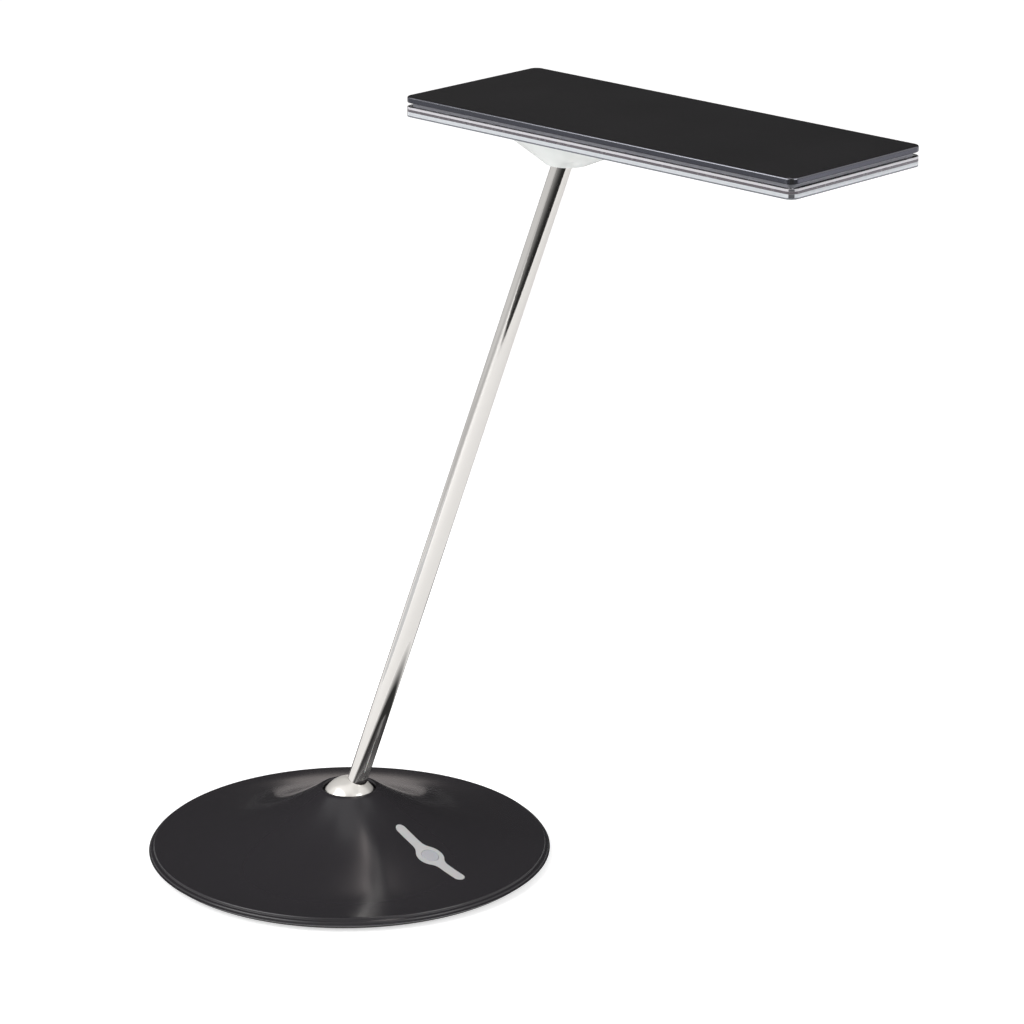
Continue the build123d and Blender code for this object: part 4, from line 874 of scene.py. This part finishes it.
def lip_point(part):
    """A point on the lip's soft curve, from the mouth to the flare."""
    rest = 1 - part
    return (
        (rest ** 2 + 2 * rest * part) * MOUTH_RADIUS + part ** 2 * HUB_RADIUS,
        rest ** 2 * MOUTH_HEIGHT + 2 * rest * part * lip_peak + part ** 2 * HUB_HEIGHT,
    )


shell_profile = [lip_point(step / LIP_STEPS) for step in range(LIP_STEPS)]
for step in range(FLARE_STEPS + 1):
    radius = HUB_RADIUS + (FOLD_FROM - HUB_RADIUS) * step / FLARE_STEPS
    shell_profile.append((radius, flare_height(radius)))
for steepness, length in FOLD:
    bend = math.radians(steepness)
    radius, height = shell_profile[-1]
    shell_profile.append((radius + length * math.cos(bend), height - length * math.sin(bend)))
print("the fold ends at", [round(n, 2) for n in shell_profile[-1]])
shell_profile += [
    (WIDEST, FOOT + FOOT_SLOPE), (FOOT_RADIUS, FOOT), (SKIRT_INNER, FOOT),
    (SKIRT_INNER, flare_height(SKIRT_INNER) - SHEET),
]
for step in range(1, UNDER_STEPS):
    radius = SKIRT_INNER + (COLLAR_OUTER - SKIRT_INNER) * step / UNDER_STEPS
    shell_profile.append((radius, flare_height(radius) - SHEET))
shell_profile += [
    (COLLAR_OUTER, flare_height(COLLAR_OUTER) - SHEET), (COLLAR_OUTER, COLLAR_LOW),
    (COLLAR_INNER, COLLAR_LOW), (COLLAR_INNER, COLLAR_HIGH), (MOUTH_RADIUS, COLLAR_HIGH),
]
print(len(shell_profile), "points in the shell's profile")

# %% Turn the shell and cut the notch for the plug
SHELL_SEGMENTS = 288
NOTCH_HALF, NOTCH_TOP, NOTCH_FROM = 4.5, 5.2, 84.0
NOTCH_LOW, NOTCH_TO = -5, 1.1 * SHELL_RADIUS      # past the shell below and outside
NOTCH_CORNER, NOTCH_EDGE = 0.8, 0.3

shell_form = lathe(shell_profile, Vector(), segments=SHELL_SEGMENTS)
notch = slab(
    Vector((-NOTCH_TO, -NOTCH_HALF, NOTCH_LOW)) * MM, Vector((-NOTCH_FROM, NOTCH_HALF, NOTCH_TOP)) * MM,
    NOTCH_CORNER * MM, NOTCH_EDGE * MM,
)
painted_shell = new_piece(
    "painted_shell", carve(shell_form, notch), charcoal, "root", ("base_cover",)
)
print("shell", len(painted_shell.data.polygons), "faces")

# %% [markdown]
# ## Black ring round the ball
# Between the painted hub and the ball lies a black ring, where the gap round the ball
# shows dark. It lies just off the ball, inside the hub's mouth. It is turned from a
# profile, so that its underside can follow the ball.

# %% Black ring of the hub
RING_SEGMENTS = 128
HUB_RING_PLAY = 0.06
HUB_RING_INNER = 13.75          # clear of the stem at its farthest lean
HUB_RING_OUTER = 14.75
HUB_RING_THICK = 0.35
HUB_RING_STEPS = 6
HUB_RING_ROUND = (0.15, 0.7)    # where on half a turn its rounded back starts, and how far it goes

ball_low, ball_high = corners_of("base_ball")
ball_radius = (ball_high.x - ball_low.x) / 2 / MM


def on_ball(radius, play):
    """Height of the ball's surface over its centre at a radius, with play added."""
    return math.sqrt((ball_radius + play) ** 2 - radius ** 2)


hub_ring_under = [
    HUB_RING_INNER + (HUB_RING_OUTER - HUB_RING_INNER) * step / HUB_RING_STEPS for step in range(HUB_RING_STEPS + 1)
]
hub_ring_profile = [(radius, on_ball(radius, HUB_RING_PLAY)) for radius in hub_ring_under]
for step, radius in reversed(list(enumerate(hub_ring_under))):
    part = HUB_RING_ROUND[0] + HUB_RING_ROUND[1] * step / HUB_RING_STEPS
    hub_ring_profile.append((radius, on_ball(radius, HUB_RING_PLAY) + HUB_RING_THICK * math.sin(math.pi * part)))
new_piece(
    "black_hub_ring", lathe(hub_ring_profile, base_ball_centre, segments=RING_SEGMENTS),
    moulded_plastic("black_hub_ring_plastic", (0.014, 0.014, 0.014), 0.5, 0.65), "root",
)
print("wiper ring inside radius", HUB_RING_INNER, "on a ball of", round(ball_radius, 2))

# %% [markdown]
# ## The studio
# The photograph was cut out on pure white, but what the lamp mirrors still tells of the
# studio: pale ground and walls, a darkness above and behind, a narrow strip light
# overhead, and broad soft light from both sides. The floor is white to the camera and
# dimmer in mirrors, and still takes the shadow.

# %% Floor
FLOOR_HALF = 6.0
FLOOR_SEEN = 0.6              # what it glows with for the camera
FLOOR_MIRRORED = 0.31         # and in mirrors


def white_floor():
    made = bpy.data.materials.new("studio_floor")
    made.use_nodes = True
    tree = made.node_tree
    shader = tree.nodes["Principled BSDF"]
    shader.inputs["Base Color"].default_value = (0.8, 0.8, 0.8, 1)
    shader.inputs["Roughness"].default_value = 0.9
    shader.inputs["Specular IOR Level"].default_value = 0.0
    ray = add(made, "ShaderNodeLightPath")
    mirrored = add(made, "ShaderNodeMath", operation="MAXIMUM")
    join(made, ray.outputs["Is Glossy Ray"], mirrored.inputs[0])
    join(made, ray.outputs["Is Transmission Ray"], mirrored.inputs[1])
    dim = add(made, "ShaderNodeMath", operation="MULTIPLY")
    dim.inputs[1].default_value = FLOOR_MIRRORED
    join(made, mirrored.outputs["Value"], dim.inputs[0])
    lift = add(made, "ShaderNodeMath", operation="MULTIPLY_ADD")
    lift.inputs[1].default_value = FLOOR_SEEN
    join(made, ray.outputs["Is Camera Ray"], lift.inputs[0])
    join(made, dim.outputs["Value"], lift.inputs[2])
    join(made, lift.outputs["Value"], shader.inputs["Emission Strength"])
    shader.inputs["Emission Color"].default_value = (1, 1, 1, 1)
    return made


sheet = bmesh.new()
bmesh.ops.create_grid(sheet, x_segments=2, y_segments=2, size=FLOOR_HALF)
floor = object_of("studio_floor", sheet)
floor.data.materials.append(white_floor())
print("floor", 2 * FLOOR_HALF, "m wide")

# %% [markdown]
# The world is white behind the lamp for the camera, and a little under white in what
# mirrors and clear plastic show. As light on the lamp it is weaker still, so that colours
# come out as written.

# %% World
WORLD_LIGHT = 0.44
MIRRORED_LIGHT = 0.8
CAMERA_WHITE = 1.0

world = bpy.data.worlds.new("studio_world")
bpy.context.scene.world = world
world.use_nodes = True
world.node_tree.nodes.clear()
out = add(world, "ShaderNodeOutputWorld")
backdrop = add(world, "ShaderNodeBackground")
ray = add(world, "ShaderNodeLightPath")
mirror_seen = add(world, "ShaderNodeMath", operation="MAXIMUM")
join(world, ray.outputs["Is Glossy Ray"], mirror_seen.inputs[0])
join(world, ray.outputs["Is Transmission Ray"], mirror_seen.inputs[1])
any_seen = add(world, "ShaderNodeMath", operation="MAXIMUM")
join(world, ray.outputs["Is Camera Ray"], any_seen.inputs[0])
join(world, mirror_seen.outputs["Value"], any_seen.inputs[1])
strength = spread(world, any_seen.outputs["Value"], WORLD_LIGHT, MIRRORED_LIGHT, 0, 1)
behind = add(world, "ShaderNodeMath", operation="MULTIPLY_ADD")
behind.inputs[1].default_value = CAMERA_WHITE - MIRRORED_LIGHT
join(world, ray.outputs["Is Camera Ray"], behind.inputs[0])
join(world, strength, behind.inputs[2])
backdrop.inputs["Color"].default_value = (1, 1, 1, 1)
join(world, behind.outputs["Value"], backdrop.inputs["Strength"])
join(world, backdrop.outputs["Background"], out.inputs["Surface"])
print("world light", WORLD_LIGHT)

# %% [markdown]
# ## Cards that only mirrors see
# A glossy black object looks black only if it mirrors something dark, so a studio hangs
# dark cloth where the object would mirror white. The photograph tells where: each grey
# on the base and the stem was traced to the direction that it mirrors. Behind the lamp
# it is dark up to nearly overhead, but for one narrow bright gap low down, and the white
# table ends in front, about seven tenths of a metre from the lamp. The cards below copy
# that. The camera doesn't see them, they throw no shadow, and they show in mirrors only.

# %% Helpers for cards
def card_cloth(name, glow, shade=(1, 1, 1)):
    """Cloth that shows one even brightness in mirrors and takes no light itself."""
    cloth = new_finish(name, Base_Color=(0.0, 0.0, 0.0, 1), Roughness=1.0, Emission_Color=(*shade, 1))
    shader_of(cloth).inputs["Specular IOR Level"].default_value = 0.0
    shader_of(cloth).inputs["Emission Strength"].default_value = glow
    return cloth


def hang(name, form, cloth):
    """Makes a card of a bmesh form that only mirrors see."""
    card = object_of(name, form)
    card.data.materials.append(cloth)
    card.visible_camera = False
    card.visible_diffuse = False
    card.visible_transmission = False
    card.visible_shadow = False
    return card


def flat_card(name, corners, cloth):
    """A flat card through corners that are given as the photographer sees them."""
    form = bmesh.new()
    form.faces.new([form.verts.new(seen(*corner)) for corner in corners])
    return hang(name, form, cloth)


print("card helpers ready")

# %% Dark hood behind and above
HOOD_RADIUS = 3.7
HOOD_LOW = math.radians(0.3)
HOOD_HIGH = math.radians(76)
HOOD_SIDE = math.radians(58)
HOOD_SIDE_LOW = math.radians(26)     # at its lower edge
HOOD_WIDE_FROM = math.radians(18)    # where it reaches its full width
HOOD_STEPS = 16


def hood_point(side, rise):
    level = HOOD_RADIUS * math.cos(rise)
    return seen(level * math.sin(side), level * math.cos(side), HOOD_RADIUS * math.sin(rise))


hood_form = bmesh.new()
rows = []
for row in range(HOOD_STEPS + 1):
    rise = HOOD_LOW + (HOOD_HIGH - HOOD_LOW) * row / HOOD_STEPS
    reach = HOOD_SIDE_LOW + (HOOD_SIDE - HOOD_SIDE_LOW) * min(1, rise / HOOD_WIDE_FROM)
    sides = [reach * (2 * column / HOOD_STEPS - 1) for column in range(HOOD_STEPS + 1)]
    rows.append([hood_form.verts.new(hood_point(side, rise)) for side in sides])
for low, high in zip(rows, rows[1:]):
    for corner in range(HOOD_STEPS):
        hood_form.faces.new((low[corner], low[corner + 1], high[corner + 1], high[corner]))
hood = hang("dark_hood", hood_form, card_cloth("hood_cloth", 0.03))
print("hood", len(hood.data.polygons), "faces")

# %% Dark ground behind, with its bright gap, and the table's end in front
CARD_LIFT = 0.002
GAP_NEAR = (-0.053, 0.045)    # the gap's two sides beside the base
GAP_FAR = (-0.34, 0.08)       # and at the hood
GAP_GROUND_FROM = 0.1
GAP_TOP = 0.6
BEHIND = (0.118, 3.55)        # how far away the dark ground starts and ends
GROUND_NEAR = (0.2, 0.2)      # its outer corner beside the lamp, to the side and away
GROUND_FAR = 1.4              # and its outer corner at the hood, to the side

dark_ground = card_cloth("dark_ground", 0.03)
for name, near, far, side in (
    ("ground_left", GAP_NEAR[0], GAP_FAR[0], -1), ("ground_right", GAP_NEAR[1], GAP_FAR[1], 1)
):
    flat_card(name, [
        (near, BEHIND[0], CARD_LIFT), (far, BEHIND[1], CARD_LIFT),
        (side * GROUND_FAR, BEHIND[1], CARD_LIFT), (side * GROUND_NEAR[0], GROUND_NEAR[1], CARD_LIFT),
    ], dark_ground)
flat_card("bright_gap", [
    (GAP_FAR[0], BEHIND[1], 0), (GAP_FAR[1], BEHIND[1], 0),
    (GAP_FAR[1], BEHIND[1], GAP_TOP), (GAP_FAR[0], BEHIND[1], GAP_TOP),
], card_cloth("bright_gap", 0.66, (1.0, 0.92, 0.89)))
flat_card("gap_ground", [
    (GAP_NEAR[0], GAP_GROUND_FROM, 2 * CARD_LIFT), (GAP_FAR[0], BEHIND[1], 2 * CARD_LIFT),
    (GAP_FAR[1], BEHIND[1], 2 * CARD_LIFT), (GAP_NEAR[1], GAP_GROUND_FROM, 2 * CARD_LIFT),
], card_cloth("gap_ground", 0.46, (1.0, 0.93, 0.91)))

ROOM_GLOW = (0.03, 0.62)      # near the table's end, and far off
ROOM_OCTAVES = (-0.05, 2.8)   # those distances, as powers of two of a metre
ROOM_CORNERS = (              # to the right and away; the first three are the table's end
    (1.2, -0.16), (-1.6, -1.67), (-8.0, -5.13), (-8.0, -9.0), (4.5, -9.0), (4.5, -0.5),
)


def room_in_front():
    """Dark near the table's end, and paler farther off, where the room is lit."""
    room = card_cloth("room_in_front", 0.06)
    place = add(room, "ShaderNodeTexCoord").outputs["Object"]
    away = add(room, "ShaderNodeVectorMath", operation="LENGTH")
    join(room, place, away.inputs[0])
    octaves = add(room, "ShaderNodeMath", operation="LOGARITHM")
    octaves.inputs[1].default_value = 2.0
    join(room, away.outputs["Value"], octaves.inputs[0])
    glow = spread(room, octaves.outputs["Value"], *ROOM_GLOW, *ROOM_OCTAVES)
    join(room, glow, shader_of(room).inputs["Emission Strength"])
    return room


flat_card("room_in_front", [(*corner, CARD_LIFT) for corner in ROOM_CORNERS], room_in_front())
print("ground cards and gap hung")

# %% [markdown]
# Behind the camera stands the photographer's side of the room, dimmer than the lamps on
# both sides of it. The middle of the rim's line mirrors it.

# %% Dim wall behind the camera
WALL_AWAY = -3.2
WALL_HALF = 1.15
WALL_HEIGHTS = (0.25, 5.5)

flat_card("camera_wall", [
    (side * WALL_HALF, WALL_AWAY, height)
    for side, height in (
        (-1, WALL_HEIGHTS[0]), (1, WALL_HEIGHTS[0]), (1, WALL_HEIGHTS[1]), (-1, WALL_HEIGHTS[1])
    )
], card_cloth("camera_wall", 0.35))
print("wall hung")

# %% [markdown]
# The white table isn't evenly white: the base keeps the light off it close by. The foot
# of the stem mirrors that dark ring, which fades out seven centimetres past the rim.

# %% Dim ring of table round the base
DIM_RING = (0.116, 0.145, 0.19)      # from the rim: dark up to here, and white here
DIM_GLOW = (0.04, 1.0)
DIM_STEPS = 48


def dim_table():
    """Dark beside the base and as bright as the table at the ring's outer edge."""
    dim = card_cloth("dim_table", 0.5)
    away = add(dim, "ShaderNodeVectorMath", operation="LENGTH")
    join(dim, add(dim, "ShaderNodeTexCoord").outputs["Object"], away.inputs[0])
    glow = spread(dim, away.outputs["Value"], *DIM_GLOW, *DIM_RING[1:])
    join(dim, glow, shader_of(dim).inputs["Emission Strength"])
    return dim


ring_form = bmesh.new()
spokes = []
for step in range(DIM_STEPS):
    angle = 2 * math.pi * step / DIM_STEPS
    spokes.append([
        ring_form.verts.new((radius * math.cos(angle), radius * math.sin(angle), CARD_LIFT / 2))
        for radius in DIM_RING[::2]
    ])
for spoke, following in zip(spokes, spokes[1:] + spokes[:1]):
    ring_form.faces.new((spoke[0], spoke[1], following[1], following[0]))
hang("dim_ring", ring_form, dim_table())
print("dim ring", DIM_STEPS, "faces")

# %% [markdown]
# The head's thin side faces the ground far to the left and right. It shows a lavender
# grey there that is paler than the black skin, so bright ground must lie out there.

# %% Bright ground on both sides
FAR_RIGHT = ((0.9, -0.1), (2.1, -0.6), (2.1, 1.0), (0.9, 0.5))
FAR_LEFT = ((-0.9, -0.35), (-2.1, -0.9), (-2.1, 0.9), (-0.9, 0.4))

for name, corners, glow, shade in (
    ("far_right", FAR_RIGHT, 2.6, (0.95, 0.94, 1.0)), ("far_left", FAR_LEFT, 0.85, (0.95, 0.97, 1.0))
):
    flat_card(name, [(*corner, CARD_LIFT) for corner in corners], card_cloth(name, glow, shade))
print("side ground hung")

# %% [markdown]
# ## Lamps of the studio
# The streak that runs down the base toward the camera has two halves. The right one is
# the bright stem, mirrored in the paint. A narrow strip high over and behind the lamp
# draws the left one, and hangs where that half of the slope mirrors it. A broad soft box
# in front at the left and a smaller one at the right give the even light that the plastic
# and the head's end show.

# %% Studio lamps
def soft_box(name, place, target, width, length, power, shade=(1, 1, 1)):
    """An area lamp that looks from place to target, both given as the photographer sees them."""
    light = bpy.data.lights.new(name, "AREA")
    light.shape = "RECTANGLE"
    light.size = width
    light.size_y = length
    light.energy = power
    light.color = shade
    box = bpy.data.objects.new(name, light)
    bpy.context.collection.objects.link(box)
    box.location = seen(*place)
    box.rotation_mode = "QUATERNION"
    box.rotation_quaternion = (seen(*target) - seen(*place)).to_track_quat("-Z", "Y")
    return box


GRID_SPREAD = math.radians(120)      # a grid keeps the strip's light within this angle


def strip_lamp(name, start, end, width, power, shade):
    """A gridded strip that shines straight down, from one end to the other."""
    first, last = seen(*start), seen(*end)
    strip = soft_box(name, start, end, width, (last - first).length, power, shade)
    strip.location = (first + last) / 2
    along = (last - first).normalized()
    across = along.cross(Vector((0, 0, 1)))
    strip.rotation_quaternion = Matrix((across, along, (0, 0, 1))).transposed().to_quaternion()
    strip.data.spread = GRID_SPREAD
    return strip


strip_lamp("strip_above", (0.27, 0.42, 1.9), (0.03, 1.65, 1.9), 0.09, 1.1, (1.0, 0.91, 0.88))
soft_box("left_box", (-1.5, -0.8, 1.6), (0, 0, 0.2), 1.8, 1.5, 34)
soft_box("right_box", (1.5, -1.0, 1.3), (0.1, 0, 0.3), 1.1, 1.1, 12)
print("3 studio lamps")

# %% [markdown]
# ## Finish
# At the end the view transform is set to Standard.

# %% Finish with the Standard view transform
bpy.context.scene.view_settings.view_transform = "Standard"
